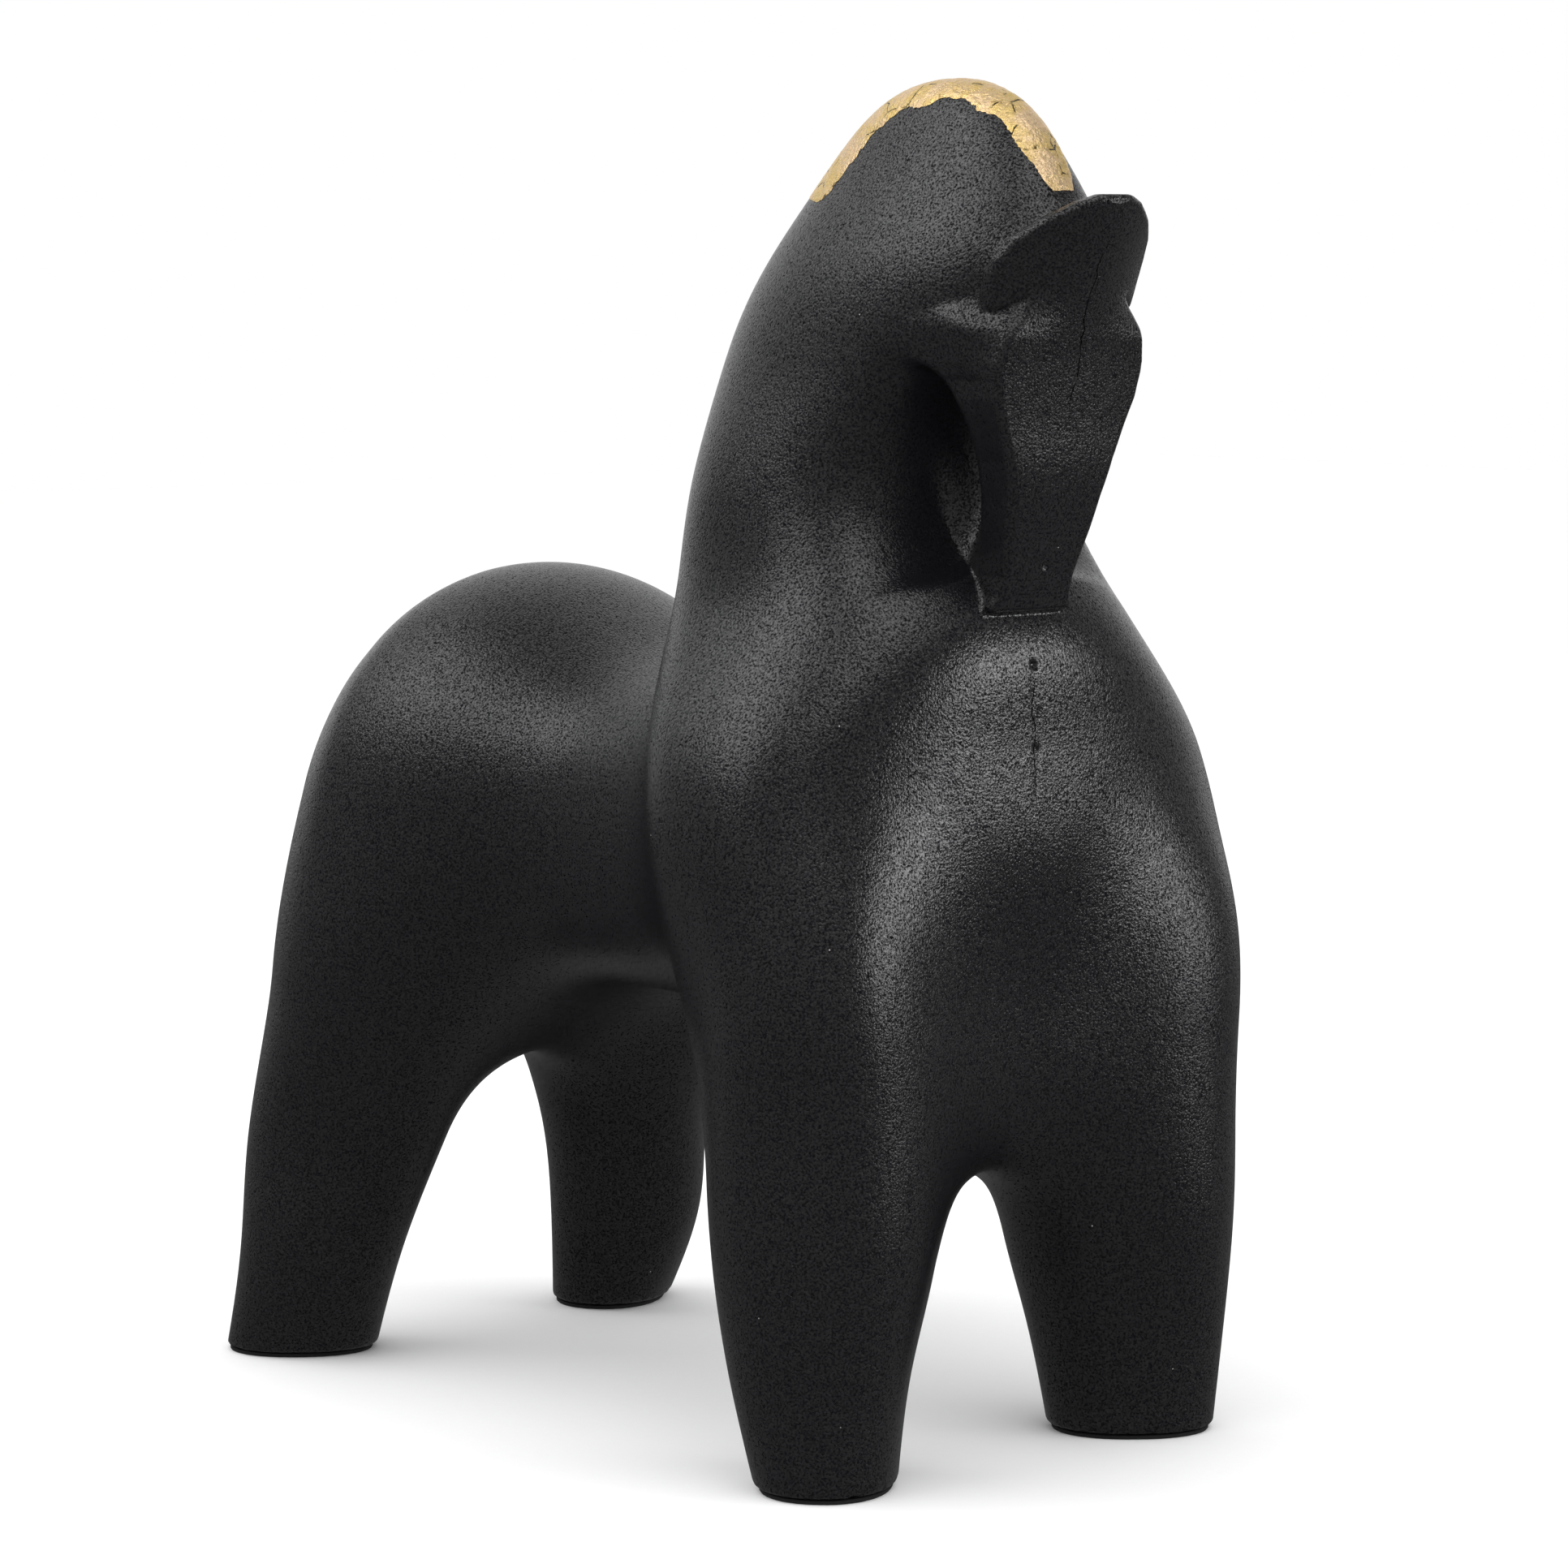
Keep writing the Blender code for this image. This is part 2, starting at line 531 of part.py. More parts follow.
def make_leaf(casting):
    """The leaf as a thin sheet that follows the crest and clears the faceted casting by the joint gap."""
    along = np.linspace(0, 1, LEAF_STATIONS)
    angles = LEAF_ANGLES[0] + (LEAF_ANGLES[-1] - LEAF_ANGLES[0]) * along
    half = curve(tuple(zip(LEAF_ANGLES, LEAF_HALF_WIDTHS)), 1, angles)
    half = half * (1 + 0.05 * np.sin(23 * along) + 0.04 * np.sin(41 * along + 1))
    across = np.linspace(-1, 1, LEAF_ACROSS)
    x = across[None, :] * half[:, None]
    angle = np.radians(angles)[:, None] + 0 * x
    under = crest_points(x, angle, JOINT_GAP)
    over = crest_points(x, angle, JOINT_GAP + LEAF_THICKNESS)
    bm = bmesh.new()
    bm.from_mesh(casting.data)
    tree = BVHTree.FromBMesh(bm)
    bm.free()
    for i in range(LEAF_STATIONS):
        for j in range(LEAF_ACROSS):
            point = Vector(under[i, j])
            on, normal, _, _ = tree.find_nearest(point)
            short = JOINT_GAP - (point - on).dot(normal)
            if short > 0:
                under[i, j] += np.array(normal) * short
                over[i, j] += np.array(normal) * short
    points = np.concatenate([under.reshape(-1, 3), over.reshape(-1, 3)])
    layer = LEAF_STATIONS * LEAF_ACROSS
    number = np.arange(layer).reshape(LEAF_STATIONS, LEAF_ACROSS)
    faces = []
    for i in range(LEAF_STATIONS - 1):
        for j in range(LEAF_ACROSS - 1):
            a, b, c, d = number[i, j], number[i + 1, j], number[i + 1, j + 1], number[i, j + 1]
            faces.append((a, b, c, d))
            faces.append((d + layer, c + layer, b + layer, a + layer))
    edge = list(number[:, 0]) + list(number[-1, 1:]) + list(number[-2::-1, -1]) + list(number[0, -2:0:-1])
    for i, a in enumerate(edge):
        b = edge[(i + 1) % len(edge)]
        faces.append((b, a, a + layer, b + layer))
    return mesh_object("gold_leaf_mane", points, faces)


def make_pads():
    pads = []
    for end, table, turn in (("front", FRONT_LEG, FRONT_LEG_TURN), ("rear", REAR_LEG, REAR_LEG_TURN)):
        for word, side in (("right", -1), ("left", 1)):
            rim = foot_rim(table, turn, side, PAD_INSET, ROUND_SIDES + ROUND_SIDES // 4)
            pads.append(column(f"felt_pad_{end}_{word}", rim, 0.0, PAD_THICKNESS))
    return pads


def material(name, colour, roughness, metallic=0.0):
    made = bpy.data.materials.new(name)
    made.use_nodes = True
    shader = made.node_tree.nodes["Principled BSDF"]
    shader.inputs["Base Color"].default_value = (*colour, 1.0)
    shader.inputs["Roughness"].default_value = roughness
    shader.inputs["Metallic"].default_value = metallic
    return made


def place(obj, made):
    """Centres a finished piece, turns its millimetres into metres and gives it its material."""
    count = len(obj.data.vertices)
    points = np.empty(count * 3)
    obj.data.vertices.foreach_get("co", points)
    points = points.reshape(-1, 3) - (0, MIDDLE_Y, 0)
    obj.data.vertices.foreach_set("co", (points * 0.001).ravel())
    obj.data.materials.clear()
    obj.data.materials.append(made)
    obj.data.update()


def main():
    for obj in list(bpy.data.objects):
        bpy.data.objects.remove(obj)
    casting = make_casting()
    leaf = make_leaf(casting)
    plug = make_plug()
    pads = make_pads()
    place(casting, material("black_resin", (0.018, 0.017, 0.019), 0.5))
    place(leaf, material("gold_leaf", (0.72, 0.45, 0.16), 0.3, 1.0))
    place(plug, material("grey_resin", (0.3, 0.29, 0.27), 0.6))
    felt = material("black_felt", (0.012, 0.012, 0.012), 0.95)
    for pad in pads:
        place(pad, felt)


main()
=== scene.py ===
"""Resin horse figurine: the looks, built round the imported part.

Shapes are worked out in millimetres, with Y counted from the front feet as in the part's own source, and
turned into metres when a mesh is made. The horse faces -Y, and +X is its own left side.
"""

import bmesh
import bpy
import numpy as np
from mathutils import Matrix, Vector


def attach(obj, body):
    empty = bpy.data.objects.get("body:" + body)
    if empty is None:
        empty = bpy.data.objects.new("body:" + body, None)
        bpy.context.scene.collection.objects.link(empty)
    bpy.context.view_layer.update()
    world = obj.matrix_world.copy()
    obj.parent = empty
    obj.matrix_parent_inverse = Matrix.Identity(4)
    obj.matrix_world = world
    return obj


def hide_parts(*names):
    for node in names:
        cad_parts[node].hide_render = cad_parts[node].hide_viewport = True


# Camera, in metres and degrees
CAMERA_TURN, CAMERA_RISE = -40.2, 5.8
CAMERA_DISTANCE = 1.101
CAMERA_AIM = (-0.0606, -0.0875, 0.1525)
FOCAL_LENGTH = 121.1

# Sizes shared with the part
MIDDLE_Y = 82.6
WALL = 6.5
JOINT_GAP = 0.3
PAD_THICKNESS = 0.9
PAD_INSET = 0.9
POUR_HOLE_RADIUS = 5.5
EAR_THICKNESS = 4.4
EDGE_ROUNDING = 1.4
SOLE = PAD_THICKNESS + JOINT_GAP

# Chest and neck: height, half width, centre Y, half depth
FRONT_MASS = (
    (51.0, 49.5, 5.5, 19.5),
    (76.0, 52.0, 9.0, 23.5),
    (101.5, 57.0, 11.2, 26.2),
    (120.0, 66.0, 12.8, 29.2),
    (135.5, 71.0, 14.0, 31.2),
    (161.0, 65.5, 19.0, 35.2),
    (186.5, 49.0, 28.0, 40.5),
    (212.0, 42.5, 34.5, 34.0),
    (237.0, 34.0, 27.0, 42.5),
    (262.5, 27.5, 15.0, 46.5),
    (284.5, 19.5, 11.5, 43.5),
    (301.5, 17.5, 9.5, 45.5),
)
# How square the chest and neck are in plan: height, exponent
FRONT_SQUARENESS = ((59.5, 2.61), (152.5, 2.74), (220.0, 2.34), (288.0, 2.16))
# Each standing mass closes in a dome above the one height, and in a belly below the other
FRONT_DOME_FROM, FRONT_TOP = 241.5, 300.0
FRONT_BELLY_FROM, FRONT_BOTTOM = 99.5, 62.5

# Rump: height, half width, centre Y, half depth
REAR_MASS = (
    (71.0, 50.5, 163.0, 22.0),
    (101.5, 54.0, 158.0, 32.5),
    (135.5, 57.5, 154.5, 40.5),
    (169.5, 52.5, 153.0, 41.5),
)
REAR_SQUARENESS = 2.0
REAR_DOME_FROM, REAR_TOP = 137.0, 187.5
REAR_BELLY_FROM, REAR_BOTTOM = 110.0, 71.5

# Barrel: Y, half width, centre height, half height
BARREL = (
    (25.5, 49.0, 129.5, 41.0),
    (59.5, 44.0, 130.5, 39.0),
    (93.0, 41.5, 130.5, 37.5),
    (127.0, 45.5, 132.0, 38.5),
    (161.0, 53.0, 136.0, 41.0),
)
# The middle of the barrel, how far it runs straight from there, and how deep its ends are
BARREL_MIDDLE, BARREL_STRAIGHT, BARREL_ROUND = 93.0, 59.5, 25.5
BARREL_SQUARENESS = 2.3

# Legs: height, centre X, centre Y, long half width, short half width
FRONT_LEG = (
    (0.0, 45.0, -0.5, 18.5, 15.0),
    (25.5, 45.0, 1.5, 22.5, 19.5),
    (51.0, 43.0, 2.5, 26.5, 24.0),
    (84.5, 43.5, 3.5, 27.0, 24.0),
    (135.5, 40.0, 7.0, 35.0, 21.0),
)
FRONT_LEG_TURN = -38.6
REAR_LEG = (
    (0.0, 47.5, 191.0, 18.0, 14.0),
    (25.5, 46.5, 183.5, 19.5, 18.5),
    (51.0, 42.5, 179.0, 23.5, 20.5),
    (84.5, 37.0, 171.5, 27.0, 29.5),
    (135.5, 36.0, 163.0, 28.0, 27.0),
)
REAR_LEG_TURN = 36.6
LEG_DOME_FROM, LEG_DOME = 93.0, 42.5
LEG_SQUARENESS = 2.2

# How softly the masses run into each other
LEG_BLEND, BARREL_BLEND, WAIST_BLEND = 22.0, 25.5, 32.0

# Face line in the middle plane: height, Y
FACE_LINE = (
    (178.0, -13.3), (187.5, -16.3), (204.5, -22.0), (219.0, -25.8), (226.0, -26.7), (232.5, -27.8),
    (241.0, -29.5), (254.0, -33.4), (260.0, -35.7), (264.0, -37.6), (269.0, -40.0), (278.0, -43.5),
)
# Outline of the ears and of the face below them, right half: X, height
EAR_OUTLINE = (
    (0.0, 275.0), (4.0, 275.0), (8.5, 273.5), (14.5, 270.0), (18.9, 266.0), (20.8, 261.5),
    (21.2, 258.5), (20.9, 254.0), (20.2, 251.2), (18.8, 250.3), (14.3, 253.3),
)
# Where the ears end inside the head
EAR_FOOT = ((9.0, 250.5), (0.0, 247.0))
POLL_OUTLINE = ((0.0, 271.5), (6.0, 270.5), (12.0, 267.5), (17.0, 263.5), (18.8, 258.5), (17.0, 255.0))
FACE_OUTLINE = (
    (14.3, 253.3), (17.2, 249.8), (18.8, 247.0), (20.0, 243.5), (21.0, 240.0), (21.1, 237.5), (20.3, 232.0),
    (18.1, 226.5), (15.3, 219.0), (13.3, 211.0), (12.3, 204.0), (11.0, 197.5), (10.4, 194.0),
    (10.8, 190.0), (12.0, 186.5), (0.0, 186.5),
)
# The ears sweep back this far at this half width, above a root where the sweep sets in
EAR_SWEEP, EAR_HALF_WIDTH, EAR_ROOT, EAR_ROOT_BLEND = 8.0, 20.0, 244.0, 12.0
EAR_SWEEP_POWER = 1.8
FACE_CROWN, FACE_HALF_WIDTH = 1.0, 17.0
FACE_LEAN = 18.0
# How much the head narrows with each mm behind the face, by height, and over how many mm. Under the
# ears it widens.
CHEEK_TAPER = ((236.0, 0.1), (247.0, -0.45), (252.0, -0.45), (258.0, 0.1))
CHEEK_REACH = 9.0
# Edge of the face, sharper under the ears than down the nose: height, radius
FACE_EDGE = ((205.0, 1.8), (244.0, 1.4))
# The skin reaches no further forward than this, which keeps the ear tips in the solids' box
EAR_FRONT = -41.65
# How softly the ears run into the neck, the head into the neck at the cheeks and above them, and the
# muzzle into the chest
EAR_BLEND, CHEEK_BLEND, POLL_BLEND, MUZZLE_BLEND = 2.0, 10.0, 4.0, 0.8
# The cheek starts this far behind the face, and its blend is half as wide this deep behind the ears
CHEEK_BACK, CHEEK_DEPTH = 0.8, 14.0
# That blend grows between the first two heights, and fades over the room below the third
MUZZLE_Z, CHEEK_Z, CHEEK_TOP, CHEEK_ROOM = 200.0, 232.0, 256.0, 8.0

# The pocket between jaw and throat on each side: its middle, half width, reach above and below the
# middle, and how pointed it is below, where 2 is an oval
HOLLOW_Y, HOLLOW_Z, HOLLOW_HALF = -5.2, 221.5, 7.3
HOLLOW_RISE, HOLLOW_FALL, HOLLOW_POINT = 17.0, 27.0, 2.0
# It narrows from here inwards, and a web is left between the two pockets
HOLLOW_MOUTH, HOLLOW_WEB = 24.0, 2.5
# Its edge is sharp along the jaw and soft along the throat, and changes between these two Y
JAW_EDGE, THROAT_EDGE, JAW_EDGE_Y, THROAT_EDGE_Y = 2.4, 8.0, -11.0, 2.0

# Gold leaf along the crest: its half width at these angles, which are seen from a point inside the
# crest and count up from the horizontal behind it
LEAF_ANGLES = (30.0, 37.0, 46.0, 60.0, 75.0, 93.0, 108.0, 124.0, 140.0, 148.0)
LEAF_HALF_WIDTHS = (17.5, 18.0, 16.5, 13.0, 10.0, 8.0, 6.8, 5.9, 4.4, 2.8)
LEAF_CENTRE_Y, LEAF_CENTRE_Z = 10.0, 254.0
# Points of its sheet along and across, and how far its underside stands off the crest
LEAF_STATIONS, LEAF_ACROSS = 340, 65
LEAF_GAP = 0.02
# Its corners at the back are rounded: how wide it starts, and over what length it widens
LEAF_END_SHARE, LEAF_END_LENGTH = 0.45, 11.0
# Ragged edges of the leaf: depth, size of the lumps, seed
LEAF_RAG = ((0.5, 6.0, 11), (0.25, 1.6, 12), (0.15, 0.7, 13))
# How high the leaf lies over the crest, and how high its creases, folds and grit stand. The second
# value is what the crumpled part in front has more, from this angle on and over this many degrees.
LEAF_LIFT, LEAF_CREASES, LEAF_FOLDS, LEAF_GRIT = 0.10, (0.04, 0.09), (0.03, 0.05), 0.02
LEAF_CRUMPLED_FROM, LEAF_CRUMPLED_OVER = 78.0, 25.0

# Felt pads: points round the outline, rings from the floor up as inset and height, and depth of the fuzz
PAD_POINTS = 160
PAD_RINGS = ((0.45, 0.0), (0.12, 0.04), (0.0, 0.25), (0.0, 0.6), (0.1, 0.86), (0.4, PAD_THICKNESS))
PAD_FUZZ = 0.07

# Fine surface of the casting
NET_STEP = 2.0
SOLE_ROUNDING = 0.7
CHIP_DEPTH, CHIP_SIZE = 0.7, 3.0
# Shallow grooves for the mould seam down the face and the crack down the chest, between these heights
SEAM_DEPTH, CRACK_DEPTH, SEAM_HALF_WIDTH = 0.1, 0.12, 0.5
FACE_SEAM = (229.0, 268.0)
CHEST_CRACK = (142.0, 174.0)
# Pits just beside the middle, two on the chest and two on the face: height, depth, radius
PITS = ((175.0, 0.8, 0.8), (157.0, 0.5, 0.6), (196.5, 0.9, 0.8), (220.0, 0.4, 0.5))
PIT_X = 0.3

# Middle of the smoother part of the chest, in metres like all places in the materials
CHEST = (0.0, -0.104, 0.150)
# Hairlines of painted shade down the chest and the face, along the crack and the seam: heights where one sets
# in and is full, thins and ends
CHEST_HAIRLINE = (0.140, 0.150, 0.170, 0.174)
FACE_HAIRLINE = (0.226, 0.234, 0.262, 0.270)
# Half of a hairline's width, where it is full and where it ends, and how far it wanders
HAIRLINE_FULL, HAIRLINE_END, HAIRLINE_WANDER = 0.00005, 0.00026, 0.0008
# Colours in pairs that are mixed by noise, or alone
PAINT = ((0.0048, 0.0046, 0.0055), (0.0062, 0.0059, 0.0071))
# Near black, as painted shade in the hairlines along the seam and the crack and in the pin pits
PAINTED_CREVICE_SHADE = (0.001, 0.001, 0.001)
DUST = (0.30, 0.29, 0.27)
GOLD = ((0.86, 0.63, 0.38), (0.80, 0.58, 0.22))
BROKEN_GOLD = (0.03, 0.02, 0.01)
FELT = ((0.004, 0.004, 0.004), (0.016, 0.016, 0.017))
BARE_RESIN = ((0.24, 0.23, 0.21), (0.36, 0.35, 0.33))
PAPER = ((0.9, 0.9, 0.9), (0.92, 0.92, 0.92))

# Light of the studio: strength on what is matt, and of the room and the floor in reflections
DOME = 1.1
ROOM = 0.3
FLOOR_IN_GLOSS = 0.15
# The backdrop: its turn and rise, and how bright the glossy resin sees it
BACKDROP = (142.0, 20.0)
BACKDROP_IN_GLOSS = 0.8
# Softboxes: name, turn, rise, distance, size, power, in degrees, metres and watts
SOFTBOXES = (
    ("left_softbox", -116, 50, 1.3, (1.4, 0.75), 6.4),
    ("right_softbox", 35, 8, 1.3, (0.5, 0.34), 2.6),
    ("top_softbox", -8, 60, 1.4, (1.0, 1.1), 5.0),
)
SOFTBOX_AIM = (0.0, 0.0, 0.15)
# Half of the floor's side, in metres
FLOOR_HALF = 4


def curve(table, column, at):
    """Natural cubic spline through one column of a table, held level past its ends."""
    knots = np.array([row[0] for row in table], float)
    values = np.array([row[column] for row in table], float)
    count = len(knots)
    gaps = np.diff(knots)
    matrix = np.eye(count)
    right = np.zeros(count)
    for i in range(1, count - 1):
        matrix[i, i - 1:i + 2] = gaps[i - 1], 2 * (gaps[i - 1] + gaps[i]), gaps[i]
        right[i] = 6 * ((values[i + 1] - values[i]) / gaps[i] - (values[i] - values[i - 1]) / gaps[i - 1])
    bend = np.linalg.solve(matrix, right)
    x = np.clip(at, knots[0], knots[-1])
    i = np.clip(np.searchsorted(knots, x, side="right") - 1, 0, count - 2)
    gap = gaps[i]
    a = (knots[i + 1] - x) / gap
    b = (x - knots[i]) / gap
    bent = ((a**3 - a) * bend[i] + (b**3 - b) * bend[i + 1]) * gap * gap / 6
    return a * values[i] + b * values[i + 1] + bent


def ease(value):
    """Smooth step from 0 to 1."""
    value = np.clip(value, 0, 1)
    return value * value * (3 - 2 * value)


def blend(first, second, width):
    """Smooth union of two distances."""
    near = np.maximum(width - np.abs(first - second), 0) / width
    return np.minimum(first, second) - near * near * width / 4


def cut_by(first, second, width):
    """Smooth intersection of two distances."""
    return -blend(-first, -second, width)


def rounded(p, q, r, a, b, c, power):
    """Distance to a rounded solid of half sizes a, b and c."""
    p = np.abs(p) / a + 1e-9
    q = np.abs(q) / b + 1e-9
    r = np.abs(r) / c + 1e-9
    reach = (p**power + q**power + r**power) ** (1 / power)
    slope = np.sqrt((p ** (power - 1) / a) ** 2 + (q ** (power - 1) / b) ** 2 + (r ** (power - 1) / c) ** 2)
    return (reach - 1) / np.maximum(slope * reach ** (1 - power), 1e-9)


def standing_mass(table, power, dome_from, top, belly_from, bottom, x, y, z):
    """Distance to an upright mass that follows a table, and is closed above and below."""
    past = np.maximum(z - dome_from, 0) + np.maximum(belly_from - z, 0)
    cap = np.where(z > belly_from, top - dome_from, belly_from - bottom)
    return rounded(x, y - curve(table, 2, z), past, curve(table, 1, z), curve(table, 3, z), cap, power)


def leg(table, turn, x, y, z):
    """Distance to the nearer of two mirrored legs, each an oval turned from the length of the horse."""
    angle = np.radians(turn)
    dx = np.abs(x) - curve(table, 1, z)
    dy = y - curve(table, 2, z)
    long_way = dx * np.cos(angle) + dy * np.sin(angle)
    short_way = dy * np.cos(angle) - dx * np.sin(angle)
    up = np.maximum(z - LEG_DOME_FROM, 0)
    return rounded(long_way, short_way, up, curve(table, 3, z), curve(table, 4, z), LEG_DOME,
                   LEG_SQUARENESS)


def body(x, y, z):
    """Distance to the neck, rump, barrel and legs, run into each other."""
    front = standing_mass(FRONT_MASS, curve(FRONT_SQUARENESS, 1, z), FRONT_DOME_FROM, FRONT_TOP,
                          FRONT_BELLY_FROM, FRONT_BOTTOM, x, y, z)
    front = blend(front, leg(FRONT_LEG, FRONT_LEG_TURN, x, y, z), LEG_BLEND)
    rear = standing_mass(REAR_MASS, REAR_SQUARENESS, REAR_DOME_FROM, REAR_TOP,
                         REAR_BELLY_FROM, REAR_BOTTOM, x, y, z)
    rear = blend(rear, leg(REAR_LEG, REAR_LEG_TURN, x, y, z), LEG_BLEND)
    past = np.maximum(np.abs(y - BARREL_MIDDLE) - BARREL_STRAIGHT, 0)
    barrel = rounded(x, z - curve(BARREL, 2, y), past, curve(BARREL, 1, y), curve(BARREL, 3, y),
                     BARREL_ROUND, BARREL_SQUARENESS)
    return blend(front, blend(rear, barrel, BARREL_BLEND), WAIST_BLEND)


def outline_distance(points, p, q):
    """Signed distance to an outline given by its right half."""
    loop = list(points) + [(-a, b) for a, b in reversed(points) if a > 0]
    away = np.full(p.shape, 1e18)
    inside = np.zeros(p.shape, bool)
    for i, (bx, by) in enumerate(loop):
        ax, ay = loop[i - 1]
        ex, ey = bx - ax, by - ay
        wx, wy = p - ax, q - ay
        t = np.clip((wx * ex + wy * ey) / (ex * ex + ey * ey + 1e-12), 0, 1)
        away = np.minimum(away, (wx - ex * t) ** 2 + (wy - ey * t) ** 2)
        if ey:
            inside ^= ((ay > q) != (by > q)) & (p < ex * (q - ay) / ey + ax)
    return np.where(inside, -1, 1) * np.sqrt(away)


def behind_face(x, y, z, ear):
    """How far a point lies behind the face, swept back as the ears are where the last value is 1."""
    side = np.abs(x)
    ear_sweep = EAR_SWEEP * (side / EAR_HALF_WIDTH) ** EAR_SWEEP_POWER * ear
    crown = FACE_CROWN * (side / FACE_HALF_WIDTH) ** 2 * (1 - ear)
    return np.cos(np.radians(FACE_LEAN)) * (y - curve(FACE_LINE, 1, z) - (ear_sweep + crown))


def round_edge(first, second, radius):
    """Intersection of two distances with its edge rounded."""
    first = first + radius
    second = second + radius
    outside = np.hypot(np.maximum(first, 0), np.maximum(second, 0))
    return outside + np.minimum(np.maximum(first, second), 0) - radius


def with_head(away, x, y, z):
    """The body with the face run back into the neck, and the ears as a plate across it."""
    behind = behind_face(x, y, z, ease((z - EAR_ROOT) / EAR_ROOT_BLEND))
    taper = np.interp(z, *zip(*CHEEK_TAPER)) * np.clip(behind, 0, CHEEK_REACH)
    rim = outline_distance(POLL_OUTLINE + FACE_OUTLINE, np.abs(x) + taper, z)
    face = round_edge(rim, -behind, np.interp(z, *zip(*FACE_EDGE)))
    face = np.maximum(face, y - curve(FRONT_MASS, 2, z))
    deep = ease((behind - EAR_THICKNESS) / CHEEK_DEPTH)
    below = CHEEK_BLEND * ease((CHEEK_TOP - z) / CHEEK_ROOM) * (1 - 0.5 * deep)
    soft = ease((z - MUZZLE_Z) / (CHEEK_Z - MUZZLE_Z)) * np.maximum(below, POLL_BLEND * deep)
    cheek = round_edge(blend(away, face, MUZZLE_BLEND + soft), CHEEK_BACK - behind, CHEEK_BACK)
    face = np.minimum(blend(away, face, MUZZLE_BLEND), cheek)
    behind = behind_face(x, y, z, 1)
    rim = outline_distance(EAR_OUTLINE + EAR_FOOT, x, z)
    ears = round_edge(rim, np.abs(behind - EAR_THICKNESS / 2) - EAR_THICKNESS / 2, EDGE_ROUNDING)
    return blend(face, ears, 0.1 + EAR_BLEND * ease(behind / EAR_THICKNESS))


def hollow(x, y, z):
    """Distance to the two pockets behind the jaw, less accurate far from them."""
    up = z - HOLLOW_Z
    tall = np.where(up > 0, HOLLOW_RISE, HOLLOW_FALL)
    power = np.where(up > 0, 2.0, HOLLOW_POINT)
    p = np.abs(up) / tall + 1e-6
    q = (y - HOLLOW_Y) / HOLLOW_HALF
    deep = HOLLOW_MOUTH - HOLLOW_WEB
    r = np.maximum(HOLLOW_MOUTH - np.abs(x), 0) / deep
    reach = np.sqrt(p**power + q * q + r**4)
    rise = power * p ** (power - 1) / (2 * tall)
    slope = np.sqrt(rise**2 + (q / HOLLOW_HALF) ** 2 + (2 * r**3 / deep) ** 2)
    return (reach - 1) * reach / np.maximum(slope, 1e-9)


def casting_distance(x, y, z):
    """Distance outside the casting, negative inside it."""
    away = body(x, y, z)
    reach = THROAT_EDGE + WALL
    outline = np.array(EAR_OUTLINE + FACE_OUTLINE)
    near = np.abs(x) < outline[:, 0].max() + reach
    near &= np.abs(z - outline[:, 1].mean()) < np.ptp(outline[:, 1])
    near &= (y > FACE_LINE[-1][1] - reach) & (y < max(row[2] for row in FRONT_MASS) + reach)
    away[near] = with_head(away[near], x[near], y[near], z[near])
    near = (np.abs(x) < 2 * HOLLOW_MOUTH) & (np.hypot(y - HOLLOW_Y, z - HOLLOW_Z) < HOLLOW_FALL + reach)
    hole = -hollow(x[near], y[near], z[near])
    soft = ease((y[near] - JAW_EDGE_Y) / (THROAT_EDGE_Y - JAW_EDGE_Y))
    edge = JAW_EDGE + (THROAT_EDGE - JAW_EDGE) * soft
    away[near] = cut_by(away[near], hole, edge)
    return away


def chance(i, j, k, seed):
    """A fixed random number from 0 to 1 for each point of a grid."""
    mixed = (i * 73856093) ^ (j * 19349663) ^ (k * 83492791) ^ (seed * 2654435761)
    mixed = (mixed ^ (mixed >> 13)) * 1274126177
    return ((mixed ^ (mixed >> 16)) & 0xFFFF) / 0xFFFF


def lumps(x, y, z, size, seed):
    """Smooth noise from -1 to 1 with lumps of about the size given."""
    place = [np.asarray(v, float) / size for v in np.broadcast_arrays(x, y, z)]
    cell = [np.floor(v).astype(np.int64) for v in place]
    part = [ease(v - c) for v, c in zip(place, cell)]
    total = np.zeros(place[0].shape)
    for corner in range(8):
        step = (corner >> 2, corner >> 1 & 1, corner & 1)
        share = np.ones(total.shape)
        for t, s in zip(part, step):
            share = share * (t if s else 1 - t)
        total += share * chance(*(c + s for c, s in zip(cell, step)), seed)
    return 2 * total - 1


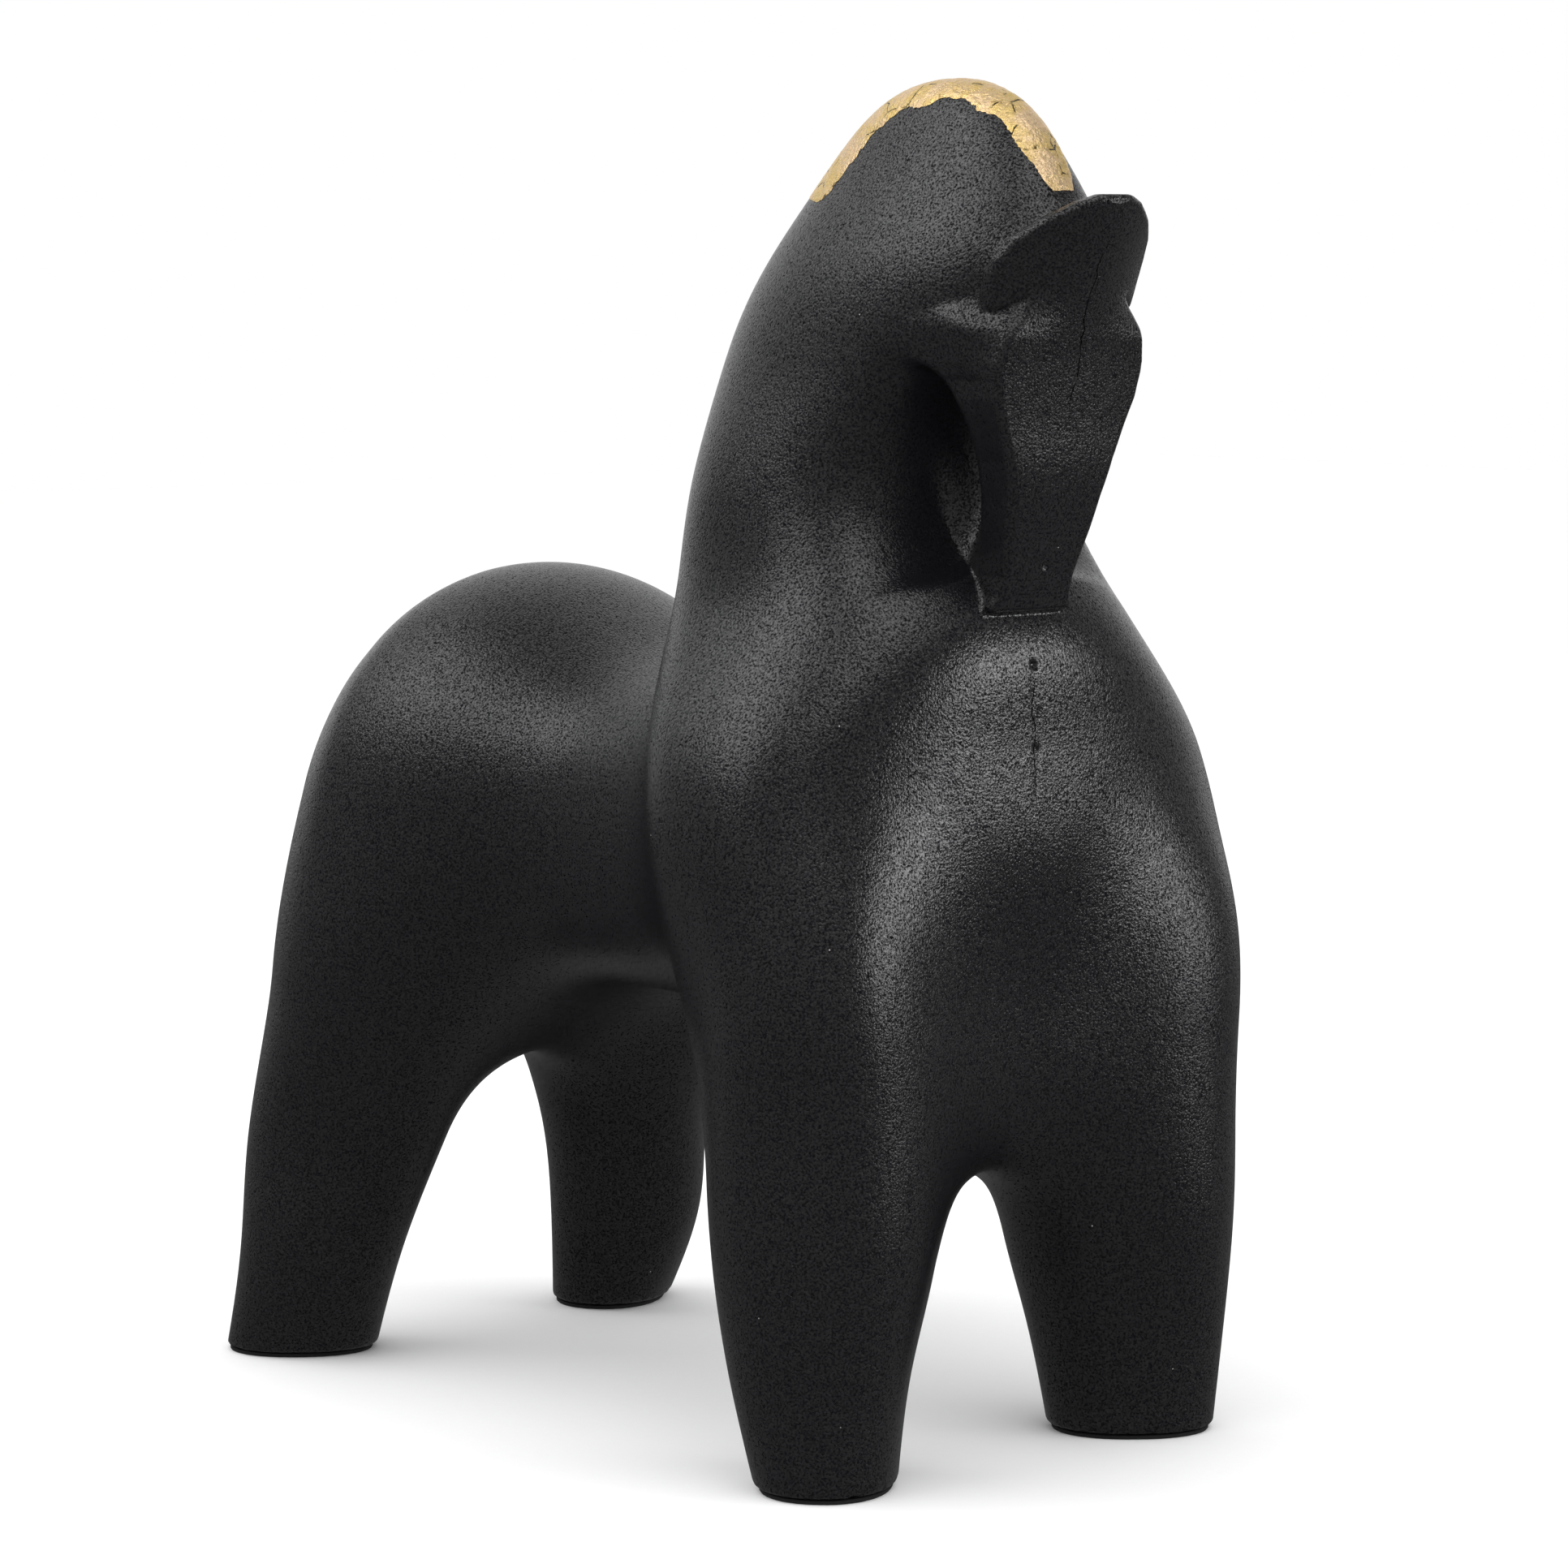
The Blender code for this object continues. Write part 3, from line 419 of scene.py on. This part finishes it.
def detailed_distance(x, y, z):
    """The casting with chipped soles, the pour hole, pits, and shallow grooves for the seam and the crack.

    Most of what shows of the seam and the crack is a dark line of painted shade in the paint's colour.
    """
    away = casting_distance(x, y, z)
    low = z < SOLE + 4 * CHIP_SIZE
    chips = ease(2.2 * lumps(x[low], y[low], z[low], CHIP_SIZE, 7) - 0.7)
    chips = chips + 0.3 * lumps(x[low], y[low], z[low], 1.1, 8)
    worn = away[low] + CHIP_DEPTH * chips * ease(1 - (z[low] - SOLE) / 1.6)
    away[low] = cut_by(worn, SOLE - z[low], 2 * SOLE_ROUNDING)
    hole = np.hypot(x[low] - REAR_LEG[0][1], y[low] - REAR_LEG[0][2]) - POUR_HOLE_RADIUS
    away[low] = np.maximum(away[low], -np.maximum(hole, z[low] - SOLE - WALL - JOINT_GAP))
    front = (np.abs(x) < 4) & (y < 0) & (z > 135)
    px, pz = x[front], z[front]
    face = ease((pz - FACE_SEAM[0]) / 8) * ease((FACE_SEAM[1] - pz) / 6)
    wander = 0.5 * lumps(0, 0, pz, 9.0, 3)
    line = np.exp(-(((px - wander) / SEAM_HALF_WIDTH) ** 2))
    groove = SEAM_DEPTH * face * line * (0.75 + 0.25 * lumps(0, 0, pz, 3.0, 4))
    crack = ease((pz - CHEST_CRACK[0]) / 6) * ease((CHEST_CRACK[1] - pz) / 3)
    groove += CRACK_DEPTH * crack * line * ease(0.9 + 0.5 * lumps(0, 0, pz, 4.0, 5))
    for height, depth, radius in PITS:
        groove += depth * np.exp(-((px - PIT_X) ** 2 + (pz - height) ** 2) / radius**2)
    away[front] += groove
    return away


def layers(axis):
    """Slices of a grid without its last and without its first layer along an axis."""
    near = tuple(slice(0, -1) if k == axis else slice(None) for k in range(3))
    far = tuple(slice(1, None) if k == axis else slice(None) for k in range(3))
    return near, far


def across(axis):
    """The two other axes."""
    return [k for k in range(3) if k != axis]


def corner_windows(shape, axes):
    """Slices of a grid that line up each corner of its cells, across the axes given."""
    windows = []
    for corner in np.ndindex(*(2 if k in axes else 1 for k in range(3))):
        windows.append(tuple(slice(corner[k], shape[k] - (k in axes) + corner[k]) for k in range(3)))
    return windows


def part_corners(inside):
    """Grid points inside that would make the net touch itself along an edge or at a point."""
    part = np.zeros(inside.shape, bool)
    for axis in range(3):
        windows = corner_windows(inside.shape, across(axis))
        here = [inside[cut] for cut in windows]
        crossed = (here[0] == here[3]) & (here[1] == here[2]) & (here[0] != here[1])
        for cut in windows:
            part[cut] |= crossed
    windows = corner_windows(inside.shape, range(3))
    here = [inside[cut] for cut in windows]
    count = sum(h.astype(int) for h in here)
    for i in range(4):
        pair = here[i] & here[7 - i] & (count == 2) | ~here[i] & ~here[7 - i] & (count == 6)
        for cut in windows:
            part[cut] |= pair
    return part & inside


def sampled(field, axes, step):
    """The field on a grid, worked out in full near its surface and at every fourth point elsewhere."""
    skip = 4
    values = field(*np.meshgrid(*(axis[::skip] for axis in axes), indexing="ij"))
    nearest = [np.clip(np.arange(len(axis)) + skip // 2, 0, (n - 1) * skip) // skip
               for axis, n in zip(axes, values.shape)]
    values = values[np.ix_(*nearest)]
    reach = 1.6 * skip * step
    near = np.abs(values) < reach
    grid = np.meshgrid(*axes, indexing="ij")
    values[near] = field(*(along[near] for along in grid))
    return values


def net_quads(inside, index):
    """A quad across each grid edge that the surface cuts, from the points of the four cells round it."""
    quads = []
    for axis in range(3):
        near, far = layers(axis)
        found = np.argwhere(inside[near] != inside[far])
        u, v = (axis + 1) % 3, (axis + 2) % 3
        corners = []
        for du, dv in ((-1, -1), (0, -1), (0, 0), (-1, 0)):
            at = found.copy()
            at[:, u] += du
            at[:, v] += dv
            corners.append(index[tuple(at.T)])
        quad = np.stack(corners, 1)
        turned = inside[far][tuple(found.T)]
        quad[turned] = quad[turned][:, ::-1]
        quads.append(quad)
    return np.concatenate(quads)


def net(field, step):
    """Closed surface where the field is zero: one point in each grid cell it cuts, and quads between them."""
    widest = max(row[1] for row in FRONT_MASS)
    deepest = REAR_LEG[0][2] + REAR_LEG[0][3]
    room = 4 * step
    low = np.array([-step * np.ceil((widest + room) / step), FACE_LINE[-1][1] - room, SOLE - room])
    high = np.array([-low[0], deepest + room, FRONT_TOP + room])
    axes = [np.arange(a, b + step, step) for a, b in zip(low, high)]
    values = sampled(field, axes, step)
    while True:
        inside = values < 0
        loose = part_corners(inside)
        if not loose.any():
            break
        values[loose] = 0.1 * step
    cells = tuple(n - 1 for n in values.shape)
    total = np.zeros(cells + (3,))
    count = np.zeros(cells)
    grid = np.indices(values.shape)
    for axis in range(3):
        near, far = layers(axis)
        crossed = inside[near] != inside[far]
        part = np.where(crossed, values[near] / np.where(crossed, values[near] - values[far], 1), 0)
        for cut in corner_windows(crossed.shape, across(axis)):
            count += crossed[cut]
            for k in range(3):
                place_on = grid[k][near][cut] + (part[cut] if k == axis else 0)
                total[..., k] += np.where(crossed[cut], place_on, 0)
    used = count > 0
    index = np.full(cells, -1)
    index[used] = np.arange(used.sum())
    points = total[used] / count[used][:, None] * step + low
    return points, net_quads(inside, index)


def slope_of(field, points, reach=0.05):
    """The field at each point, and its gradient there."""
    here = field(*points.T.copy())
    slope = np.empty(points.shape)
    for k in range(3):
        moved = points.copy()
        moved[:, k] += reach
        slope[:, k] = (field(*moved.T.copy()) - here) / reach
    return here, slope


def settled(field, points, rounds=2, most=1.0):
    """Points moved straight onto the surface where the field is zero."""
    for _ in range(rounds):
        here, slope = slope_of(field, points)
        step = -slope * (here / np.maximum((slope**2).sum(axis=1), 0.05))[:, None]
        size = np.linalg.norm(step, axis=1, keepdims=True)
        points = points + step * np.minimum(1, most / np.maximum(size, 1e-9))
    return points


def fine_zone(level, points):
    """Where the casting's mesh is halved, at the head, crack and soles first, and then along their edges."""
    x, y, z = points.T
    side = np.abs(x)
    if level == 0:
        head_zone = (side < 27) & (z > 182) & (z < 279) & (y < 14)
        return head_zone | (z < SOLE + 5) | ((side < 5) & (y < 0) & (z > 136) & (z < 182))
    rim = outline_distance(EAR_OUTLINE + FACE_OUTLINE, x, z)
    edge = (np.abs(rim) < 2.8) & (behind_face(x, y, z, 0) < 16) & (y < 10) & (z > 184)
    seam = (side < 1.6) & (y < -8) & (z > 138) & (z < 272)
    return edge | seam | (z < SOLE + 2.5)


def new_object(name, data):
    obj = bpy.data.objects.new(name, data)
    bpy.context.scene.collection.objects.link(obj)
    return obj


def to_metres(points):
    return (np.asarray(points, float) - (0, MIDDLE_Y, 0)) * 0.001


def mesh_object(name, points, faces):
    """A smooth-shaded object from points in millimetres, with its faces turned outwards."""
    mesh = bpy.data.meshes.new(name)
    mesh.from_pydata([tuple(p) for p in to_metres(points)], [], [tuple(int(i) for i in f) for f in faces])
    bm = bmesh.new()
    bm.from_mesh(mesh)
    bmesh.ops.recalc_face_normals(bm, faces=bm.faces)
    if bm.calc_volume(signed=True) < 0:
        bmesh.ops.reverse_faces(bm, faces=bm.faces)
    bm.to_mesh(mesh)
    bm.free()
    mesh.shade_smooth()
    return new_object(name, mesh)


def points_of(bm):
    return np.array([v.co for v in bm.verts])


def make_casting():
    """The casting's fine skin: a net on its surface, halved where it is sharp or detailed."""
    points, quads = net(detailed_distance, NET_STEP)
    mesh = bpy.data.meshes.new("net")
    mesh.from_pydata([tuple(p) for p in points], [], [tuple(int(i) for i in q) for q in quads])
    bm = bmesh.new()
    bm.from_mesh(mesh)
    bpy.data.meshes.remove(mesh)
    for level in range(2):
        fine = fine_zone(level, points_of(bm))
        bm.verts.index_update()
        edges = [e for e in bm.edges if fine[e.verts[0].index] and fine[e.verts[1].index]]
        bmesh.ops.subdivide_edges(bm, edges=edges, cuts=1, use_grid_fill=True)
        for vertex, place in zip(bm.verts, settled(detailed_distance, points_of(bm))):
            vertex.co = place
    bm.verts.index_update()
    faces = [[v.index for v in f.verts] for f in bm.faces]
    points = points_of(bm)
    points[:, 1] = np.maximum(points[:, 1], EAR_FRONT)
    bm.free()
    return mesh_object("horse_casting", points, faces)


def crest_points(x, angle, offset, halvings=22):
    """Points at the offset from the crest, outwards from the leaf's centre at each angle."""
    near = np.zeros(x.shape)
    far = np.full(x.shape, 2 * (FRONT_TOP - LEAF_CENTRE_Z))
    for _ in range(halvings):
        middle = (near + far) / 2
        y = LEAF_CENTRE_Y + middle * np.cos(angle)
        z = LEAF_CENTRE_Z + middle * np.sin(angle)
        outside = casting_distance(x, y, z) > offset
        far = np.where(outside, middle, far)
        near = np.where(outside, near, middle)
    return np.stack([x, LEAF_CENTRE_Y + near * np.cos(angle), LEAF_CENTRE_Z + near * np.sin(angle)], -1)


def make_leaf():
    """Gold leaf: a crumpled sheet with ragged edges, pressed onto the crest."""
    along = np.linspace(0, 1, LEAF_STATIONS)
    angles = LEAF_ANGLES[0] + (LEAF_ANGLES[-1] - LEAF_ANGLES[0]) * along
    half = curve(tuple(zip(LEAF_ANGLES, LEAF_HALF_WIDTHS)), 1, angles)
    arc = np.radians(angles) * (FRONT_TOP - LEAF_CENTRE_Z)
    rag = [sum(depth * lumps(arc, 0, side, size, seed) for depth, size, seed in LEAF_RAG) for side in (0, 50)]
    short = 1 - np.minimum((arc - arc[0]) / LEAF_END_LENGTH, 1)
    tip = LEAF_END_SHARE + (1 - LEAF_END_SHARE) * np.sqrt(1 - short**2)
    width = np.stack([half * tip + rag[0], half * tip + rag[1]])
    v = np.sin(np.linspace(-1, 1, LEAF_ACROSS) * np.pi / 2)
    x = np.where(v[None, :] < 0, width[0][:, None], width[1][:, None]) * v[None, :]
    angle = np.radians(angles)[:, None] + 0 * x
    under = crest_points(x, angle, LEAF_GAP)
    _, normal = slope_of(casting_distance, under.reshape(-1, 3))
    normal = (normal / np.linalg.norm(normal, axis=1, keepdims=True)).reshape(under.shape)
    px, py, pz = np.moveaxis(under, -1, 0)
    creases = 1 - np.abs(lumps(px, py, pz, 2.4, 21))
    folds = 1 - np.abs(lumps(px, py, pz, 1.1, 22))
    grit = lumps(px, py, pz, 0.55, 23)
    forward = ease((angles - LEAF_CRUMPLED_FROM) / LEAF_CRUMPLED_OVER)[:, None]
    creased = (LEAF_CREASES[0] + LEAF_CREASES[1] * forward) * creases**3
    folded = (LEAF_FOLDS[0] + LEAF_FOLDS[1] * forward) * folds**2
    height = LEAF_LIFT + creased + folded + LEAF_GRIT * grit
    edge = ease((1 - np.abs(v)) * half[:, None] / 0.7) * ease(np.minimum(along, 1 - along)[:, None] * 60)
    over = under + normal * (height * (0.25 + 0.75 * edge))[..., None]
    layer = LEAF_STATIONS * LEAF_ACROSS
    number = np.arange(layer).reshape(LEAF_STATIONS, LEAF_ACROSS)
    a, b, c, d = number[:-1, :-1], number[1:, :-1], number[1:, 1:], number[:-1, 1:]
    faces = list(np.stack([a, b, c, d], -1).reshape(-1, 4))
    faces += list(np.stack([d, c, b, a], -1).reshape(-1, 4) + layer)
    rim = list(number[:, 0]) + list(number[-1, 1:]) + list(number[-2::-1, -1]) + list(number[0, -2:0:-1])
    for i, p in enumerate(rim):
        q = rim[(i + 1) % len(rim)]
        faces.append((q, p, p + layer, q + layer))
    return mesh_object("gold_leaf", np.concatenate([under.reshape(-1, 3), over.reshape(-1, 3)]), faces)


def foot_rim(table, turn, side, inset):
    """Outline of a foot's sole, drawn in by the inset."""
    _, cx, cy, long_half, short_half = table[0]
    angle = np.radians(turn)
    t = np.linspace(0, 2 * np.pi, PAD_POINTS, endpoint=False)
    power = 2 / LEG_SQUARENESS
    p = (long_half - inset) * np.sign(np.cos(t)) * np.abs(np.cos(t)) ** power
    q = (short_half - inset) * np.sign(np.sin(t)) * np.abs(np.sin(t)) ** power
    return side * (cx + p * np.cos(angle) - q * np.sin(angle)), cy + p * np.sin(angle) + q * np.cos(angle)


def make_pad(name, table, turn, side):
    """A felt pad: a thin disc with soft fibrous edges."""
    cx, cy = side * table[0][1], table[0][2]
    points, faces = [], []
    for inset, z in PAD_RINGS:
        x, y = foot_rim(table, turn, side, PAD_INSET + inset)
        fuzz = PAD_FUZZ * lumps(x, y, z, 0.6, 31)
        away = np.hypot(x - cx, y - cy)
        points += [(a + (a - cx) / r * f, b + (b - cy) / r * f, z) for a, b, r, f in zip(x, y, away, fuzz)]
    top = (len(PAD_RINGS) - 1) * PAD_POINTS
    for low in range(0, top, PAD_POINTS):
        high = low + PAD_POINTS
        for i in range(PAD_POINTS):
            j = (i + 1) % PAD_POINTS
            faces.append((low + i, low + j, high + j, high + i))
    faces.append(tuple(range(PAD_POINTS))[::-1])
    faces.append(tuple(range(top, top + PAD_POINTS)))
    return mesh_object(name, points, faces)


class Nodes:
    """Short calls for building a material's nodes."""

    def __init__(self, name):
        self.material = bpy.data.materials.new(name)
        self.material.use_nodes = True
        self.tree = self.material.node_tree
        self.shader = self.tree.nodes["Principled BSDF"]

    def feed(self, socket, value):
        if isinstance(value, bpy.types.NodeSocket):
            self.tree.links.new(value, socket)
        else:
            socket.default_value = value

    def node(self, kind, inputs=None, **settings):
        made = self.tree.nodes.new(kind)
        for key, value in settings.items():
            setattr(made, key, value)
        for key, value in (inputs or {}).items():
            self.feed(made.inputs[key], value)
        return made

    def place(self):
        return self.node("ShaderNodeTexCoord").outputs["Object"]

    def noise(self, where, scale, detail=2.0, roughness=0.5):
        inputs = {"Vector": where, "Scale": scale, "Detail": detail, "Roughness": roughness}
        return self.node("ShaderNodeTexNoise", inputs).outputs["Fac"]

    def cells(self, where, scale, feature="F1"):
        return self.node("ShaderNodeTexVoronoi", {"Vector": where, "Scale": scale}, feature=feature).outputs

    def channel(self, colour, name):
        return self.node("ShaderNodeSeparateColor", {"Color": colour}).outputs[name]

    def ramp(self, value, low, high, to_low=0.0, to_high=1.0):
        inputs = {"Value": value, "From Min": low, "From Max": high, "To Min": to_low, "To Max": to_high}
        return self.node("ShaderNodeMapRange", inputs, interpolation_type="SMOOTHSTEP").outputs["Result"]

    def sum(self, *values):
        total = values[0]
        for value in values[1:]:
            total = self.node("ShaderNodeMath", {0: total, 1: value}, operation="ADD").outputs[0]
        return total

    def times(self, first, second):
        return self.node("ShaderNodeMath", {0: first, 1: second}, operation="MULTIPLY").outputs[0]

    def colour(self, share, first, second):
        mix = self.node("ShaderNodeMix", {"Factor": share}, data_type="RGBA")
        for key, value in (("A", first), ("B", second)):
            socket = [s for s in mix.inputs if s.name == key and s.type == "RGBA"][0]
            self.feed(socket, (*value, 1.0) if isinstance(value, tuple) else value)
        return [s for s in mix.outputs if s.type == "RGBA"][0]

    def bump(self, height, distance, strength):
        inputs = {"Height": height, "Distance": distance, "Strength": strength}
        return self.node("ShaderNodeBump", inputs).outputs["Normal"]

    def set(self, **inputs):
        """The finished material, with the shader's inputs named in lower case."""
        for key, value in inputs.items():
            self.feed(self.shader.inputs[key.replace("_", " ").title().replace("Ior", "IOR")], value)
        return self.material


def hairline(n, where):
    """Where the hairlines of painted shade are, down the middle of the face and of the chest."""
    parts = n.node("ShaderNodeSeparateXYZ", {"Vector": where}).outputs
    wander = n.ramp(n.noise(where, 110.0, 4.0, 0.6), 0.3, 0.7, -HAIRLINE_WANDER, HAIRLINE_WANDER)
    beside = n.node("ShaderNodeMath", {0: n.sum(parts["X"], wander)}, operation="ABSOLUTE").outputs[0]
    lengths = []
    for start, full, thins, end in (CHEST_HAIRLINE, FACE_HAIRLINE):
        lengths.append(n.times(n.ramp(parts["Z"], start, full), n.ramp(parts["Z"], thins, end, 1.0, 0.0)))
    front = n.ramp(parts["Y"], -0.07, -0.06, 1.0, 0.0)
    line = n.times(n.ramp(beside, HAIRLINE_FULL, HAIRLINE_END, 1.0, 0.0), front)
    strength = n.ramp(n.noise(where, 400.0), 0.3, 0.5, 0.3, 1.0)
    return n.times(n.times(line, n.sum(*lengths)), strength)


def resin_material():
    """Satin black paint over a sandy grain, smoother on the chest, with pale dust, and pin pits and hairlines
    darkened with painted shade.
    """
    n = Nodes("black_resin_paint")
    where = n.place()
    away = n.node("ShaderNodeVectorMath", {0: where, 1: CHEST}, operation="DISTANCE").outputs["Value"]
    patch = n.noise(where, 45.0)
    rough = n.ramp(n.sum(away, n.times(patch, 0.03)), 0.03, 0.11)
    grain = n.noise(where, 2100.0)
    peel = n.noise(where, 1000.0)
    waves = n.noise(where, 220.0)
    coarse = n.times(grain, n.ramp(rough, 0.0, 1.0, 0.55, 1.0))
    sand = n.sum(coarse, n.times(peel, 0.45), n.times(waves, 0.4))
    pits = n.cells(where, 170.0)
    rare = n.ramp(n.channel(pits["Color"], "Red"), 0.93, 0.94)
    pit = n.times(n.ramp(pits["Distance"], 0.03, 0.06, 1.0, 0.0), rare)
    dust = n.cells(where, 330.0)
    lucky = n.ramp(n.channel(dust["Color"], "Green"), 0.975, 0.98)
    speck = n.times(n.ramp(dust["Distance"], 0.04, 0.07, 1.0, 0.0), lucky)
    crack = hairline(n, where)
    shine = n.ramp(grain, 0.3, 0.7)
    black = n.colour(shine, *PAINT)
    # Painted shade: the hairlines and the pin pits are mixed to near black
    black = n.colour(crack, black, PAINTED_CREVICE_SHADE)
    black = n.colour(pit, black, PAINTED_CREVICE_SHADE)
    black = n.colour(speck, black, DUST)
    normal = n.bump(n.sum(sand, n.times(pit, -1.0)), 0.00016, 1.0)
    roughness = n.sum(n.ramp(rough, 0.0, 1.0, 0.15, 0.21), n.ramp(grain, 0.3, 0.7, -0.03, 0.05))
    shine = n.times(shine, n.ramp(crack, 0.0, 0.8, 1.0, 0.0))
    return n.set(base_color=black, roughness=roughness, normal=normal, ior=1.5, specular_ior_level=shine)


def leaf_material():
    """Crinkled gold leaf in a pale and a yellow tone, with fine dark cracks where the foil is broken."""
    n = Nodes("crinkled_gold_leaf")
    where = n.place()
    broad = n.noise(where, 160.0, 3.0, 0.6)
    fine = n.noise(where, 900.0, 4.0, 0.65)
    folds = n.cells(where, 700.0)["Distance"]
    warp = n.noise(where, 300.0)
    shift = n.node("ShaderNodeCombineXYZ", {"X": n.times(warp, 0.004), "Y": n.times(fine, 0.001)}).outputs[0]
    bent = n.node("ShaderNodeVectorMath", {0: where, 1: shift}, operation="ADD").outputs[0]
    cracks = n.cells(bent, 120.0, "DISTANCE_TO_EDGE")["Distance"]
    broken = n.times(n.ramp(cracks, 0.012, 0.03, 1.0, 0.0), n.ramp(broad, 0.5, 0.6))
    gold = n.colour(n.ramp(broad, 0.35, 0.65), *GOLD)
    gold = n.colour(broken, gold, BROKEN_GOLD)
    roughness = n.ramp(fine, 0.35, 0.65, 0.24, 0.48)
    grit = n.noise(where, 1900.0)
    normal = n.bump(n.sum(n.times(folds, 0.5), fine, n.times(grit, 0.8)), 0.00026, 1.0)
    return n.set(base_color=gold, metallic=1.0, roughness=roughness, normal=normal)


def felt_material():
    n = Nodes("black_felt")
    where = n.place()
    fibre = n.noise(where, 3500.0, 4.0, 0.7)
    tuft = n.noise(where, 700.0)
    black = n.colour(fibre, *FELT)
    normal = n.bump(n.sum(fibre, tuft), 0.0002, 0.8)
    return n.set(base_color=black, roughness=0.95, normal=normal)


def plug_material():
    n = Nodes("bare_resin")
    where = n.place()
    speckle = n.noise(where, 1400.0, 3.0, 0.6)
    grey = n.colour(n.ramp(speckle, 0.35, 0.65), *BARE_RESIN)
    return n.set(base_color=grey, roughness=0.6, normal=n.bump(speckle, 0.0001, 0.5))


def floor_material():
    """White paper, which the glossy resin sees as a plain grey."""
    n = Nodes("white_floor")
    white = n.colour(n.noise(n.place(), 400.0), *PAPER)
    diffuse = n.node("ShaderNodeBsdfDiffuse", {"Color": white})
    grey = n.node("ShaderNodeEmission", {"Strength": FLOOR_IN_GLOSS})
    glossy = n.node("ShaderNodeLightPath").outputs["Is Glossy Ray"]
    mix = n.node("ShaderNodeMixShader", {"Fac": glossy, 1: diffuse.outputs[0], 2: grey.outputs[0]})
    n.tree.links.new(mix.outputs[0], n.tree.nodes["Material Output"].inputs["Surface"])
    return n.material


def direction(turn, rise):
    """Unit vector towards a place seen from the horse: turn is 0 in front of it, and grows to its left."""
    a, e = np.radians(turn), np.radians(rise)
    return Vector((np.sin(a) * np.cos(e), -np.cos(a) * np.cos(e), np.sin(e)))


def make_camera():
    data = bpy.data.cameras.new("camera")
    data.lens = FOCAL_LENGTH
    data.sensor_width = 36.0
    data.clip_end = 20.0
    obj = new_object("camera", data)
    back = direction(CAMERA_TURN, CAMERA_RISE)
    obj.location = Vector(CAMERA_AIM) + back * CAMERA_DISTANCE
    obj.rotation_euler = back.to_track_quat("Z", "Y").to_euler()
    bpy.context.scene.camera = obj


def softbox(name, turn, rise, distance, size, power):
    data = bpy.data.lights.new(name, "AREA")
    data.shape = "RECTANGLE"
    data.size, data.size_y = size
    data.energy = power
    obj = new_object(name, data)
    towards = direction(turn, rise)
    obj.location = Vector(SOFTBOX_AIM) + towards * distance
    obj.rotation_euler = towards.to_track_quat("Z", "Y").to_euler()


def make_world():
    """White behind the horse, an even light on what is matt, and a darker room in reflections."""
    world = bpy.data.worlds.new("studio")
    world.use_nodes = True
    bpy.context.scene.world = world
    tree = world.node_tree
    background = tree.nodes["Background"]
    path = tree.nodes.new("ShaderNodeLightPath")
    place = tree.nodes.new("ShaderNodeTexCoord")
    away = tree.nodes.new("ShaderNodeVectorMath")
    away.operation = "DOT_PRODUCT"
    away.inputs[1].default_value = direction(*BACKDROP)
    tree.links.new(place.outputs["Generated"], away.inputs[0])
    room = tree.nodes.new("ShaderNodeMapRange")
    room.interpolation_type = "SMOOTHSTEP"
    for key, value in (("From Min", 0.5), ("From Max", 0.9), ("To Min", ROOM), ("To Max", BACKDROP_IN_GLOSS)):
        room.inputs[key].default_value = value
    tree.links.new(away.outputs["Value"], room.inputs["Value"])
    # A mix takes its share at input 0, and its two values at 2 and 3
    glossy = tree.nodes.new("ShaderNodeMix")
    glossy.inputs[2].default_value = DOME
    tree.links.new(path.outputs["Is Glossy Ray"], glossy.inputs[0])
    tree.links.new(room.outputs["Result"], glossy.inputs[3])
    seen = tree.nodes.new("ShaderNodeMix")
    seen.inputs[3].default_value = 1.0
    tree.links.new(path.outputs["Is Camera Ray"], seen.inputs[0])
    tree.links.new(glossy.outputs[0], seen.inputs[2])
    tree.links.new(seen.outputs[0], background.inputs["Strength"])
    background.inputs["Color"].default_value = (1.0, 1.0, 1.0, 1.0)


def main():
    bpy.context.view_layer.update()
    make_camera()
    bpy.context.scene.view_settings.view_transform = "Standard"

    casting = make_casting()
    casting.data.materials.append(resin_material())
    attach(casting, "root")
    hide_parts("resin_casting")

    leaf = make_leaf()
    leaf.data.materials.append(leaf_material())
    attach(leaf, "root")
    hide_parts("gold_leaf_mane")

    felt = felt_material()
    for end, table, turn in (("front", FRONT_LEG, FRONT_LEG_TURN), ("rear", REAR_LEG, REAR_LEG_TURN)):
        for word, side in (("right", -1), ("left", 1)):
            pad = make_pad(f"felt_{end}_{word}", table, turn, side)
            pad.data.materials.append(felt)
            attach(pad, "root")
            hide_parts(f"felt_pad_{end}_{word}")

    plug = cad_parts["pour_plug"]
    plug.data.materials.clear()
    plug.data.materials.append(plug_material())

    mesh = bpy.data.meshes.new("floor")
    corners = [(x * FLOOR_HALF, y * FLOOR_HALF, 0) for x, y in ((-1, -1), (1, -1), (1, 1), (-1, 1))]
    mesh.from_pydata(corners, [], [(0, 1, 2, 3)])
    floor = new_object("floor", mesh)
    mesh.materials.append(floor_material())

    make_world()
    for box in SOFTBOXES:
        softbox(*box)


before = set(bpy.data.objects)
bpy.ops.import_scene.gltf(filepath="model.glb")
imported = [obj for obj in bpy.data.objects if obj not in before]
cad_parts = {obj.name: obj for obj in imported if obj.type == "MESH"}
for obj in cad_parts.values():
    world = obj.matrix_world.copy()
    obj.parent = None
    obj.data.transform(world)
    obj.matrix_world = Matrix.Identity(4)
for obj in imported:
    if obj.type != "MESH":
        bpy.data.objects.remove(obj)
main()
